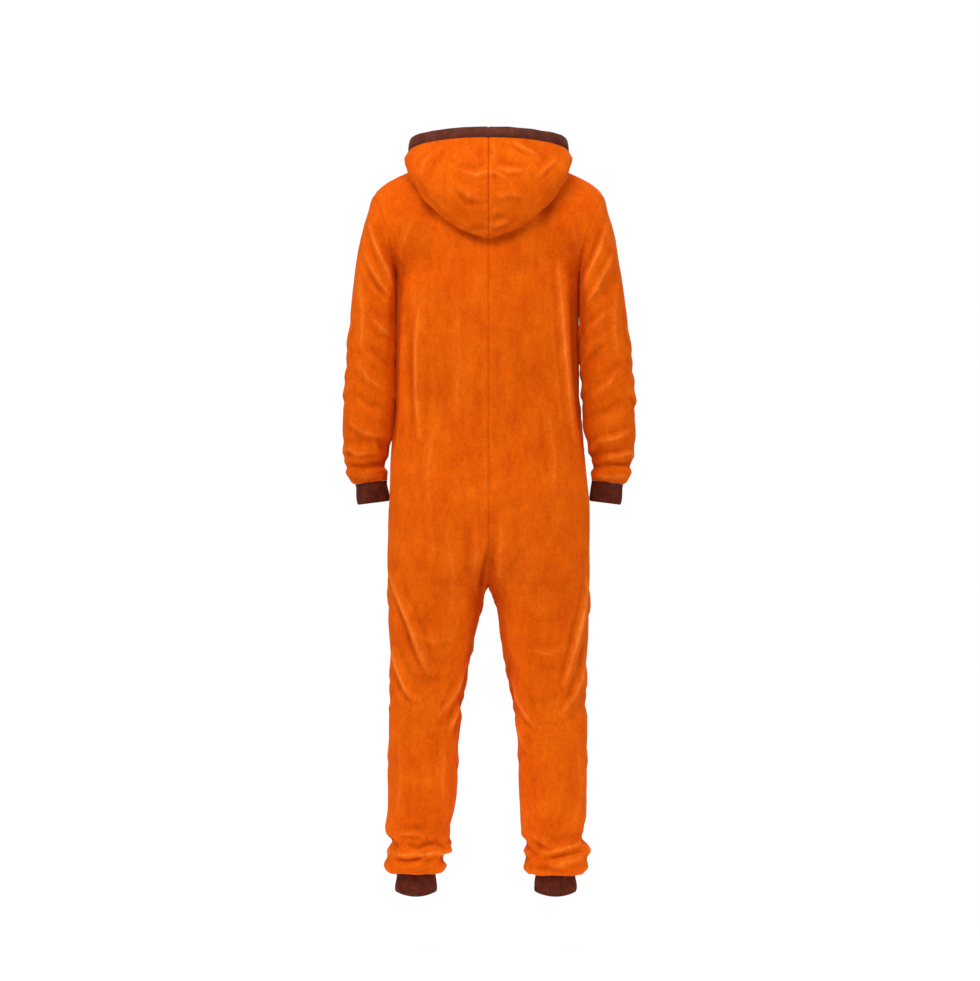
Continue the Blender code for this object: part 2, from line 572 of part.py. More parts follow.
def hood_half(side):
    """Half of the hood as a grid from the face edge to the neckline, and its face edge."""
    names = "station fold_x fold_y fold_z rim_x rim_y rim_z belly rounding turn_up lean"
    hood = columns(HOOD, names)
    neck = np.concatenate([neckline(side, 1), neckline(side, -1)[-2::-1]])
    stations = np.linspace(0.0, 1.0, 4 * NECK_COLUMNS + 1)
    places = np.linspace(0.0, 1.0, len(neck))
    seam = np.stack([np.interp(stations, places, neck[:, i]) for i in range(3)], axis=-1)
    row = {name: smooth(stations, hood["station"], hood[name]) for name in names.split()}
    grid, leans = [], []
    for i in range(len(stations)):
        fold = np.array([side * row["fold_x"][i], row["fold_y"][i], row["fold_z"][i]])
        rim = np.array([side * row["rim_x"][i], row["rim_y"][i], row["rim_z"][i]])
        outward = unit(fold * np.array([1.0, 1.0, 0.0]))
        up = np.array([0.0, 0.0, 1.0])
        rounding, turn_up = row["rounding"][i], row["turn_up"][i]
        start = seam[i] + up * 2 * SEAM_GAP
        lift = start + outward * 0.005 + up * (0.003 + 0.0045 * (turn_up + 1))
        fold_in = fold - outward * rounding + up * rounding * turn_up
        fold_out = fold + outward * rounding * 0.8 + up * rounding
        inner_mid = (lift + fold_in) / 2
        outer_mid = rim * 0.4 + fold_out * 0.6 + outward * row["belly"][i]
        line = np.array([rim, outer_mid, fold_out, fold, fold_in, inner_mid, lift, start])
        grid.append(through(line, HOOD_ROWS))
        leans.append(unit(up - row["lean"][i] * outward))
    grid = np.array(grid).transpose(1, 0, 2)
    grid[:, 0, 0] = 0.0
    return grid, np.array(leans)


def hood_and_band(fleece, knit):
    """The two halves of the hood and of the band along its face edge."""
    halves = {hand: hood_half(side) for hand, side in (("left", 1), ("right", -1))}
    grids = {"hood_" + hand: half[0] for hand, half in halves.items()}
    shared, own = surface_normals(grids, {"hood_left": 1, "hood_right": -1})
    for hand, side in (("left", 1), ("right", -1)):
        name = "hood_" + hand
        outer, normals = grids[name], shared[name]
        end_flat(normals, np.array([0.0, 0.0, 1.0]))
        skin = (outer, outer - FLEECE * normals, normals, own[name])
        edges = {"first": SEAM_GAP / 2, "last": ZIP_HALF_GAP}
        wall(name, *pull_back(skin, edges), False, fleece)
        band("hood_band_" + hand, outer[0], normals[0], halves[hand][1], side, knit)


def band(name, edge, facing, lean, side, knit):
    """A folded band: a flat, round-ended section along the hood's face edge."""
    facing = unit(facing - np.sum(facing * lean, axis=1, keepdims=True) * lean)
    section = [(0.0, 0.10), (0.12, 0.0), (0.80, 0.0), (0.97, 0.25), (0.97, 0.75),
               (0.80, 1.0), (0.12, 1.0), (0.0, 0.90)]
    rows = []
    for along, deep in section:
        out = 0.001 - deep * BAND_DEPTH
        rows.append(edge + lean * (SEAM_GAP * 2 + 0.0016 + along * BAND_WIDTH) + facing * out)
    rings = np.array(rows).transpose(1, 0, 2)
    rings[0, :, 0] = side * SEAM_GAP / 2
    rings[-1, :, 0] = side * ZIP_HALF_GAP
    count = rings.shape[1]
    faces = []
    for i in range(len(rings) - 1):
        for k in range(count):
            a, b = i * count + k, i * count + (k + 1) % count
            faces.append((a, b, b + count))
            faces.append((a, b + count, a + count))
    faces.append(tuple(range(count)))
    faces.append(tuple(range((len(rings) - 1) * count, len(rings) * count)))
    add_object(name, rings.reshape(-1, 3), faces, knit)


def zip_parts(skins, tape_cloth, metal):
    """The front zip: two tapes behind the front edges, the chain, the slider and pull."""
    for hand, side in (("left", 1), ("right", -1)):
        outer, inner = skins["front_" + hand][:2]
        rows = outer[:, 0, 2] > ZIP_BOTTOM
        edge, next_one = inner[rows, 0], inner[rows, 1]
        reach = TAPE_WIDTH / np.abs(next_one[:, :1] - edge[:, :1])
        behind = unit(np.cross(next_one - edge, np.gradient(edge, axis=0))) * -side
        behind[:, 0] = 0.0
        behind = unit(behind * np.where(behind[:, 1:2] < 0, -1.0, 1.0))
        near = edge + behind * 2 * SEAM_GAP
        near[:, 0] = side * SEAM_GAP / 2
        far = edge + (next_one - edge) * reach + behind * 2 * SEAM_GAP
        front_skin = np.stack([near, far], axis=1)
        back_skin = front_skin + behind[:, None] * TAPE
        wall("zip_tape_" + hand, front_skin, back_skin, False, tape_cloth)
    outer = skins["front_left"][0]
    line = outer[(outer[:, 0, 2] > ZIP_BOTTOM) & (outer[:, 0, 2] < SLIDER_TOP), 0]
    slope = unit(line[1] - line[0])
    start = outer[0, 0] + slope * ((SLIDER_TOP - outer[0, 0, 2]) / slope[2])
    line = np.concatenate([[start + slope * (SLIDER_LENGTH + SEAM_GAP)], line[1:]])
    chain(line, metal)
    slider_and_pull(start, slope, metal)


def chain(line, metal):
    """The zip's row of teeth as one flexible strip, let in between the front edges."""
    along = unit(np.gradient(line, axis=0))
    outward = unit(np.cross(along, np.array([1.0, 0.0, 0.0])))
    outward *= np.where(outward[:, 1:2] > 0, -1.0, 1.0)
    half = np.array([CHAIN_HALF_WIDTH, 0.0, 0.0])
    front = np.stack([line - half, line + half], axis=1)
    back = front - outward[:, None] * CHAIN_DEPTH
    wall("zip_chain", front, back, False, metal)


def extrude(name, outline, low, high, axis, frame, metal):
    """A plate from an outline, between two levels along x or z of its frame."""
    count = len(outline)
    points = [(level, a, b) if axis == "x" else (a, b, level)
              for level in (low, high) for a, b in outline]
    faces = [tuple(range(count)), tuple(range(count, 2 * count))]
    faces += [(i, (i + 1) % count, count + (i + 1) % count, count + i) for i in range(count)]
    piece = add_object(name, points, faces, metal)
    piece.matrix_world = frame
    piece.data.set_sharp_from_angle(angle=math.radians(35))
    return piece


def combine(piece, other, operation):
    """Joins another solid to a piece, or cuts it out."""
    change = piece.modifiers.new(operation.lower(), "BOOLEAN")
    change.operation = operation
    change.object = other
    other.hide_render = True
    other.display_type = "WIRE"


def rectangle(low_a, high_a, low_b, high_b):
    """An outline's four corners."""
    return [(low_a, low_b), (high_a, low_b), (high_a, high_b), (low_a, high_b)]


def slider_and_pull(start, slope, metal):
    """The slider at the top of the closed zip, and the tab that hangs on its bridge."""
    outward = unit(np.cross(slope, np.array([1.0, 0.0, 0.0])))
    outward = outward if outward[1] < 0 else -outward
    across = np.cross(slope, outward)
    turn = Matrix((across, slope, outward)).transposed().to_4x4()
    hinge = start + slope * SLIDER_LENGTH * 0.5
    hinge = hinge + outward * (SLIDER_LIFT + SLIDER_PLATE + BRIDGE_HEIGHT / 2)
    frame = Matrix.Translation(Vector(hinge)) @ turn
    floor, top = -BRIDGE_HEIGHT / 2, BRIDGE_HEIGHT / 2
    half, foot = SLIDER_LENGTH / 2, BRIDGE_SPAN / 2
    side = [(-half, floor - SLIDER_PLATE), (half, floor - SLIDER_PLATE),
            (half, floor - SLIDER_PLATE * 0.4), (half * 0.75, floor),
            (-half * 0.75, floor), (-half, floor - SLIDER_PLATE * 0.4)]
    slider = extrude("zip_slider", side, -SLIDER_WIDTH / 2, SLIDER_WIDTH / 2, "x", frame, metal)
    sunk, clear = floor - SLIDER_PLATE / 2, foot - BRIDGE_BAR
    arch = [(foot, sunk), (foot, top - BRIDGE_BAR), (foot - BRIDGE_BAR / 2, top),
            (BRIDGE_BAR / 2 - foot, top), (-foot, top - BRIDGE_BAR), (-foot, sunk),
            (-clear, sunk), (-clear, top - BRIDGE_BAR), (clear, top - BRIDGE_BAR), (clear, sunk)]
    bridge = extrude("bridge", arch, -BRIDGE_WIDTH / 2, BRIDGE_WIDTH / 2, "x", frame, metal)
    combine(slider, bridge, "UNION")
    half, eye = PULL_WIDTH / 2, BRIDGE_WIDTH / 2 + PULL_CLEARANCE
    tab = [(half, -PULL_BAR / 2), (half, PULL_LENGTH - half), (half / 2, PULL_LENGTH - half / 4),
           (-half / 2, PULL_LENGTH - half / 4), (-half, PULL_LENGTH - half),
           (-half, -PULL_BAR / 2)]
    pull = extrude("zip_pull", tab, -PULL_DEPTH / 2, PULL_DEPTH / 2, "z", frame, metal)
    slot = rectangle(-eye, eye, PULL_BAR / 2, PULL_BAR / 2 + PULL_SLOT)
    cutter = extrude("eye", slot, -PULL_DEPTH, PULL_DEPTH, "z", frame, metal)
    combine(pull, cutter, "DIFFERENCE")
    print("hinge at", [round(float(value), 5) for value in hinge])


def main():
    """Builds every piece of the garment."""
    for old in list(bpy.data.objects):
        bpy.data.objects.remove(old)
    fleece = material("plush_fleece", (0.78, 0.110, 0.003), 0.95)
    knit = material("rib_knit", (0.100, 0.022, 0.012), 0.9)
    tape_cloth = material("zip_tape_cloth", (0.72, 0.10, 0.004), 0.8)
    metal = material("zip_metal", (0.45, 0.30, 0.14), 0.35, 1.0)
    skins = body_and_sleeves()
    cut_panels(skins, fleece)
    cut_sleeves(skins, fleece)
    cuffs(skins, knit)
    hood_and_band(fleece, knit)
    zip_parts(skins, tape_cloth, metal)


main()
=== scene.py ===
# %% [markdown]
# # Hooded onesie in plush fleece
# The real garment is a one-piece suit in an adult size: plush fleece panels sewn edge to
# edge, a hood that lies down on the back, rib-knit cuffs and a zip down the front.
# The CAD solids give its worn, hollow form. This script dresses them: each panel is
# taken from its solid's own outer side, refined, creased and given a material.

# %% Load the frame
import math

import bmesh
import bpy
import numpy as np
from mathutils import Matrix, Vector
from mathutils.kdtree import KDTree
from mathutils.noise import noise as wander


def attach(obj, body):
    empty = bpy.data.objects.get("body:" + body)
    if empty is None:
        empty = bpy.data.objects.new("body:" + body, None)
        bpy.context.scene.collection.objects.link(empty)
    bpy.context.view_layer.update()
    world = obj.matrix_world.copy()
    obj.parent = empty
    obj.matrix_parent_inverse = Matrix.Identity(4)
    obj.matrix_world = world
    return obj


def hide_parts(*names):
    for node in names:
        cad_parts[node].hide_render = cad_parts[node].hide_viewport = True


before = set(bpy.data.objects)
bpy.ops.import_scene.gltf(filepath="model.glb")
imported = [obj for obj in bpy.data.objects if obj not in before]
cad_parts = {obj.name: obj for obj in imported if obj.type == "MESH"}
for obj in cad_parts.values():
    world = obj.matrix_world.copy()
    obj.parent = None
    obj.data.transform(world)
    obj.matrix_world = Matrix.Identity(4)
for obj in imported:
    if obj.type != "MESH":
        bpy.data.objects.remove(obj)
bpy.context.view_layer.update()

MM = 0.001

# %% [markdown]
# ## Camera, light and floor
# The photograph is taken square on from behind, at half its height, with a long lens: near
# and far parts show at almost the same scale. From ten metres a lens that covers 1.96 m
# gives the same frame. The light is a large soft box on each side, one high on the
# camera's side, one high at the front and one above, in a white surround, because plush
# shows its nap and its creases best in broad light from above and from the side.

# %% Camera
PHOTO_WIDTH = 980                         # pixels across the photograph's frame
PIXEL = 2.0 * MM                          # one pixel of it, on the garment
DISTANCE = 10.0
SENSOR = 36.0 * MM
VIEW_X, VIEW_Z = -0.003, -0.636           # what the middle of the frame looks at
BACK_Y = 0.05                             # about where the garment's back is
FAR = 60.0


def linked(name, data):
    """A new object in the scene, with this data."""
    made = bpy.data.objects.new(name, data)
    bpy.context.scene.collection.objects.link(made)
    return made


camera_data = bpy.data.cameras.new("camera")
camera_data.sensor_fit = "HORIZONTAL"
camera_data.sensor_width = SENSOR / MM
camera_data.lens = SENSOR / MM * DISTANCE / (PHOTO_WIDTH * PIXEL)
camera_data.clip_end = FAR
camera = linked("camera", camera_data)
camera.location = (VIEW_X, DISTANCE + BACK_Y, VIEW_Z)
camera.rotation_euler = (math.radians(90), 0.0, math.radians(180))
bpy.context.scene.camera = camera
print(f"lens {camera_data.lens:.1f} mm")


# %% [markdown]
# ## Colours and materials
# Every colour is written as it looks on a screen (sRGB hex) and one function turns it
# into the linear light that shaders work in. One more function adds a node. A finish is
# then put together from layers: the first gives its hues, and each finer one shades
# them and raises the surface, as the pile, yarn or grain of the real thing does.

# %% Colours and nodes
def linear(code):
    """A hex colour such as #e55c06 as linear red, green, blue and alpha."""
    values = [int(code[i:i + 2], 16) / 255 for i in (1, 3, 5)]
    return tuple(v / 12.92 if v <= 0.04045 else ((v + 0.055) / 1.055) ** 2.4
                 for v in values) + (1.0,)


def paint(value):
    """The same from a hex colour, from three linear numbers, or from one for a grey."""
    if isinstance(value, str):
        return linear(value)
    return (*value, 1.0) if isinstance(value, tuple) else (value, value, value, 1.0)


def node(tree, kind, settings=None, inputs=None, links=None, stops=()):
    """Adds a node, with its settings, its inputs' values, the links into it and, where
    it is a colour ramp, its stops."""
    made = tree.nodes.new(kind)
    for name, value in (settings or {}).items():
        setattr(made, name, value)
    for name, value in (inputs or {}).items():
        made.inputs[name].default_value = value
    for name, source in (links or {}).items():
        tree.links.new(source, made.inputs[name])
    for _ in stops[2:]:
        made.color_ramp.elements.new(0.5)
    for number, (place, value) in enumerate(stops):
        element = made.color_ramp.elements[number]
        element.position, element.color = place, paint(value)
    return made


# %% A finish in layers
def finish(name, hues, layers, carried=(), rough=0.9, uniform=None):
    """A material from its hues and its layers, largest first.

    Each layer is the size of its lumps, their stretch along z, the shades of its
    hollows and of its crowns, and the depth and strength of its bump. Carried are
    numbers that the mesh has at its points, each with the shades of 0, 0.5 and 1.
    Rough is one number, or two for the hollows and crowns of the finest layer.
    Uniform are the values of the shader's other inputs, the same all over.
    """
    made = bpy.data.materials.new(name)
    made.use_nodes = True
    tree, shader = made.node_tree, made.node_tree.nodes["Principled BSDF"]
    place = node(tree, "ShaderNodeTexCoord").outputs["Object"]
    shades, under = [], {}
    for size, stretch, low, high, deep, strong in layers:
        scaled = node(tree, "ShaderNodeMapping", links={"Vector": place},
                      inputs={"Scale": (1 / size, 1 / size, 1 / (size * stretch))})
        form = node(tree, "ShaderNodeTexNoise", links={"Vector": scaled.outputs["Vector"]},
                    inputs={"Scale": 1.0, "Detail": 3.0, "Roughness": 0.6}).outputs["Fac"]
        stops = [(0.32, low), (0.5, 1.0), (0.68, high)] if shades else hues
        shades.append(node(tree, "ShaderNodeValToRGB", links={"Fac": form}, stops=stops))
        if deep:
            raised = node(tree, "ShaderNodeBump", links={"Height": form, **under},
                          inputs={"Distance": deep, "Strength": strong})
            under = {"Normal": raised.outputs["Normal"]}
    for label, low, middle, high in carried:
        number = node(tree, "ShaderNodeAttribute", {"attribute_name": label})
        shades.append(node(tree, "ShaderNodeValToRGB", links={"Fac": number.outputs["Fac"]},
                           stops=[(0.0, low), (0.5, middle), (1.0, high)]))
    colour = shades[0].outputs["Color"]
    for shade in shades[1:]:
        colour = node(tree, "ShaderNodeMix", {"data_type": "RGBA", "blend_type": "MULTIPLY"},
                      {0: 1.0}, {6: colour, 7: shade.outputs["Color"]}).outputs[2]
    tree.links.new(colour, shader.inputs["Base Color"])
    for label, source in under.items():
        tree.links.new(source, shader.inputs[label])
    if isinstance(rough, tuple):
        worn = node(tree, "ShaderNodeValToRGB", links={"Fac": form},
                    stops=[(0.3, rough[0]), (0.7, rough[1])])
        tree.links.new(worn.outputs["Color"], shader.inputs["Roughness"])
    else:
        shader.inputs["Roughness"].default_value = rough
    for label, value in (uniform or {}).items():
        shader.inputs[label].default_value = value
    return made, tree, shader


# %% Floor, surround and lights
FLOOR_Z = -1.572
FLOOR_RADIUS, RIM_POINTS = 1.1, 96
FLOOR_GLOW = 0.30          # the floor is lit through, as a white sweep is, up to white
SURROUND_LIGHT = 0.34
rim = [2 * math.pi * i / RIM_POINTS for i in range(RIM_POINTS)]
floor_mesh = bpy.data.meshes.new("floor")
floor_mesh.from_pydata([(FLOOR_RADIUS * math.cos(a), FLOOR_RADIUS * math.sin(a), FLOOR_Z)
                        for a in rim], [], [tuple(range(RIM_POINTS))])
floor = linked("floor", floor_mesh)
floor_paint, tree, shader = finish(
    "painted_studio_floor", [(0.3, "#f5f4f2"), (0.7, "#faf9f8")],
    [(300 * MM, 1.0, 1.0, 1.0, 0, 0)],
    uniform={"Specular IOR Level": 0.1, "Emission Color": linear("#ffffff"),
             "Emission Strength": FLOOR_GLOW})
floor_mesh.materials.append(floor_paint)

world = bpy.data.worlds.new("surround")
bpy.context.scene.world = world
world.use_nodes = True
tree = world.node_tree
# the surround looks white to the camera and lights the cloth with less than that
seen = node(tree, "ShaderNodeLightPath").outputs["Is Camera Ray"]
strength = node(tree, "ShaderNodeMapRange", links={"Value": seen},
                inputs={"To Min": SURROUND_LIGHT, "To Max": 1.0})
tree.nodes["Background"].inputs["Color"].default_value = linear("#ffffff")
tree.links.new(strength.outputs["Result"], tree.nodes["Background"].inputs["Strength"])
bpy.context.scene.view_settings.view_transform = "Standard"

# name, watts, size across, size up, place, point that it faces
LIGHTS = [
    ("soft_box_back_high", 49, 1.6, 1.2, (0.5, 2.4, 1.4), (0.0, 0.0, -0.45)),
    ("soft_box_back_left", 38, 0.9, 2.0, (2.9, 1.2, 0.45), (0.0, 0.0, -0.4)),
    ("soft_box_back_right", 36, 0.9, 2.0, (-2.9, 1.2, 0.45), (0.0, 0.0, -0.4)),
    ("soft_box_front_high", 56, 1.6, 1.2, (-0.9, -3.0, 1.3), (0.0, 0.0, -0.6)),
    ("soft_box_above", 18, 2.6, 2.6, (0.0, 0.0, 2.3), (0.0, 0.0, -0.5)),
]
for name, watts, wide, high, place, target in LIGHTS:
    light_data = bpy.data.lights.new(name, "AREA")
    light_data.shape = "RECTANGLE"
    light_data.size, light_data.size_y, light_data.energy = wide, high, watts
    light = linked(name, light_data)
    light.location = place
    light.rotation_euler = (Vector(target) - Vector(place)).to_track_quat("-Z", "Y").to_euler()
print(len(LIGHTS), "soft boxes")


# %% [markdown]
# ## Plush fleece
# The fabric is a polyester plush fleece: a thin knit with a dense, short, raised pile.
# The pile lies a little differently from place to place, so the eye sees cloudy patches
# of lighter and darker orange, streaks along the nap and a fine grain, and a soft glow
# where the pile is seen edge on. Noise at four real sizes gives patches, streaks, tufts
# and grain, the sheen layer gives the glow, and the bump makes tufts catch the light.

# %% Plush fleece
PATCH = 60 * MM        # clouds of pile that lie alike
STREAK = 15 * MM       # width of the nap's streaks, which run three times as long
TUFT = 5.0 * MM        # tufts of pile
GRAIN = 2.0 * MM       # ends of the pile, drawn about four times too coarse to show
# painted shade and highlight on the pile: its colour is darker and redder in the hollows of
# the creases and in the seams' valleys, and lighter and yellower along the ridges, palest at
# their crests
fleece, tree, shader = finish(
    "plush_fleece_orange", [(0.30, "#d85204"), (0.50, "#df5a05"), (0.70, "#e66208")],
    [(PATCH, 1.0, 1.0, 1.0, 0, 0),
     (STREAK, 3.2, (0.92, 0.88, 0.8), (1.04, 1.08, 1.2), 1.6 * MM, 0.4),
     (TUFT, 1.6, (0.93, 0.90, 0.85), (1.04, 1.07, 1.2), 1.2 * MM, 0.55),
     (GRAIN, 1.0, (0.84, 0.80, 0.7), (1.12, 1.22, 1.6), 0.7 * MM, 0.75)],
    [("crease_shade_and_highlight", (0.66, 0.58, 0.42), 1.0, (1.12, 1.22, 1.5)),
     ("crest", 1.0, (1.08, 1.34, 5.0), (1.2, 1.85, 12.0)),
     ("seam", 1.0, (0.95, 0.93, 0.9), (0.70, 0.64, 0.5))], rough=0.97,
    uniform={"Specular IOR Level": 0.04, "Sheen Weight": 0.32, "Sheen Roughness": 0.42,
             "Sheen Tint": linear("#ff8428")})
print("fleece patches", PATCH / MM, "mm, tufts", TUFT / MM, "mm, grain", GRAIN / MM, "mm")

# %% [markdown]
# ## From a solid's wall to cloth
# The CAD part holds every panel as a coarse wall, 3 mm thick. Its outer side is the
# surface that sewing calls the right side of the cloth. It could be built again from
# numbers, but taking it from the solid keeps the dressed piece exactly on its form.
# The short edges that cross the wall tell its rim from its two sides, and the side with
# the larger area is the outer one. Its triangles are paired back into cells.

# %% The outer side of a wall
WALL = 3.0 * MM            # thickness of the fleece
ACROSS = 0.001 * MM        # how closely an edge across the wall has this length
SAME = 0.01 * MM           # points this close are one point of the solid


def loose_parts(faces):
    """Groups of faces that hang together."""
    left, groups = set(faces), []
    while left:
        group = [left.pop()]
        for face in group:
            for edge in face.edges:
                near = [other for other in edge.link_faces if other in left]
                left.difference_update(near)
                group.extend(near)
        groups.append(group)
    return groups


def paired(triangles, points):
    """Four-cornered cells from a grid's triangles, which are all split the same way.

    Every triangle has its edges in the same order round: along, across, diagonal. So
    one walk from triangle to triangle gives each edge its class, and the diagonals are
    the class that never lies on the border, or else the longest.
    """
    at = {(t[k], t[(k + 1) % 3]): (i, k) for i, t in enumerate(triangles) for k in range(3)}
    turn, queue = {0: 0}, [0]
    length, border = [0.0] * 3, [0] * 3
    for i in queue:
        for k in range(3):
            a, b = triangles[i][k], triangles[i][(k + 1) % 3]
            kind = (k - turn[i]) % 3
            length[kind] += np.linalg.norm(points[a] - points[b])
            if (b, a) not in at:
                border[kind] += 1
                continue
            j, m = at[(b, a)]
            if j not in turn:
                turn[j] = (m - kind) % 3
                queue.append(j)
    diagonal = max((kind for kind in range(3) if not border[kind]), key=lambda c: length[c])
    cells, done = [], set()
    for i in range(len(triangles)):
        k = (diagonal + turn[i]) % 3
        a, b, c = (triangles[i][(k + n) % 3] for n in range(3))
        j, m = at[(b, a)]
        if i not in done:
            cells.append((a, triangles[j][(m + 2) % 3], b, c))
            done.update((i, j))
    return cells


def outer_side(name):
    """The points and cells of the outer side of a node's wall."""
    work = bmesh.new()
    work.from_mesh(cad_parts[name].data)
    bmesh.ops.remove_doubles(work, verts=work.verts, dist=SAME)
    rungs = {edge for edge in work.edges if abs(edge.calc_length() - WALL) < ACROSS}
    rim = [face for face in work.faces if any(edge in rungs for edge in face.edges)]
    bmesh.ops.delete(work, geom=rim, context="FACES")
    side = max(loose_parts(work.faces), key=lambda group: sum(f.calc_area() for f in group))
    order = {v: i for i, v in enumerate(sorted({v for f in side for v in f.verts},
                                               key=lambda v: v.index))}
    points = np.array([v.co for v in order])
    cells = paired([tuple(order[v] for v in f.verts) for f in side], points)
    work.free()
    return points, cells


# %% [markdown]
# ## Smooth cloth from coarse cells
# The panels of the body and the sleeves are sewn together first, by joining their
# points across the 0.3 mm seams, so that the refined surface runs on smoothly through
# every seam. Subdivision pulls a surface in from its control points, so the points are
# pushed out again until the smooth surface goes through the solid's own points.

# %% Sewing and refining
SEWN = 0.7 * MM            # points this close belong to the same place on a seam
LEVELS = 3                 # times that each cell is divided in 4
ROUNDS = 4                 # times that the points are pushed out


def tree_of(points):
    """A search tree of the points, by their numbers."""
    tree = KDTree(len(points))
    for i, point in enumerate(points):
        tree.insert(point, i)
    tree.balance()
    return tree


def sewn(names):
    """All these nodes' outer sides as one mesh: points, cells and each cell's piece."""
    points, cells, pieces = [], [], []
    for index, name in enumerate(names):
        own_points, own_cells = outer_side(name)
        start = len(points)
        points.extend(own_points)
        cells.extend([tuple(start + v for v in cell) for cell in own_cells])
        pieces.extend([index] * len(own_cells))
        print(name, len(own_points), "points,", len(own_cells), "cells")
    tree, joined, places = tree_of(points), {}, []
    for i, point in enumerate(points):
        if i not in joined:
            near = [j for _, j, _ in tree.find_range(point, SEWN) if j not in joined]
            joined.update({j: len(places) for j in near})
            places.append(np.mean([points[j] for j in near], axis=0))
    cells = [tuple(joined[v] for v in cell) for cell in cells]
    return np.array(places), cells, pieces


def refined(points, cells, pieces):
    """The smooth surface through the points: its points, cells and each cell's piece."""
    mesh = bpy.data.meshes.new("coarse")
    mesh.from_pydata([tuple(p) for p in points], [], cells)
    mesh.polygons.foreach_set("material_index", pieces)
    for _ in range(max(pieces) + 1):
        mesh.materials.append(None)
    work = linked("coarse", mesh)
    change = work.modifiers.new("smooth", "SUBSURF")
    change.levels = LEVELS
    change.boundary_smooth = "PRESERVE_CORNERS"
    control = points.copy()
    for _ in range(ROUNDS):
        mesh.vertices.foreach_set("co", control.ravel())
        mesh.update()
        fine = work.evaluated_get(bpy.context.evaluated_depsgraph_get()).to_mesh()
        found = np.zeros(len(fine.vertices) * 3)
        fine.vertices.foreach_get("co", found)
        found = found.reshape(-1, 3)
        missed = points - found[:len(points)]
        control += missed
    quads = np.zeros(len(fine.polygons) * 4, int)
    fine.polygons.foreach_get("vertices", quads)
    kinds = np.zeros(len(fine.polygons), int)
    fine.polygons.foreach_get("material_index", kinds)
    print(f"refined to {len(kinds)} cells, off by {np.abs(missed).max() / MM:.2f} mm at most")
    bpy.data.objects.remove(work)
    return found.copy(), quads.reshape(-1, 4), kinds


def unit(vectors):
    """The same vectors at length 1."""
    return vectors / np.maximum(np.linalg.norm(vectors, axis=-1, keepdims=True), 1e-12)


def normals_of(points, quads):
    """Outward normals at the points."""
    corner = points[quads]
    face = np.cross(corner[:, 2] - corner[:, 0], corner[:, 3] - corner[:, 1])
    total = np.zeros_like(points)
    for k in range(4):
        np.add.at(total, quads[:, k], face)
    return unit(total)


# %% Sewing the body and sleeves together
BODY = ["back_left", "back_right", "front_left", "front_right", "sleeve_left", "sleeve_right"]
body_points, body_cells, body_kinds = refined(*sewn(BODY))
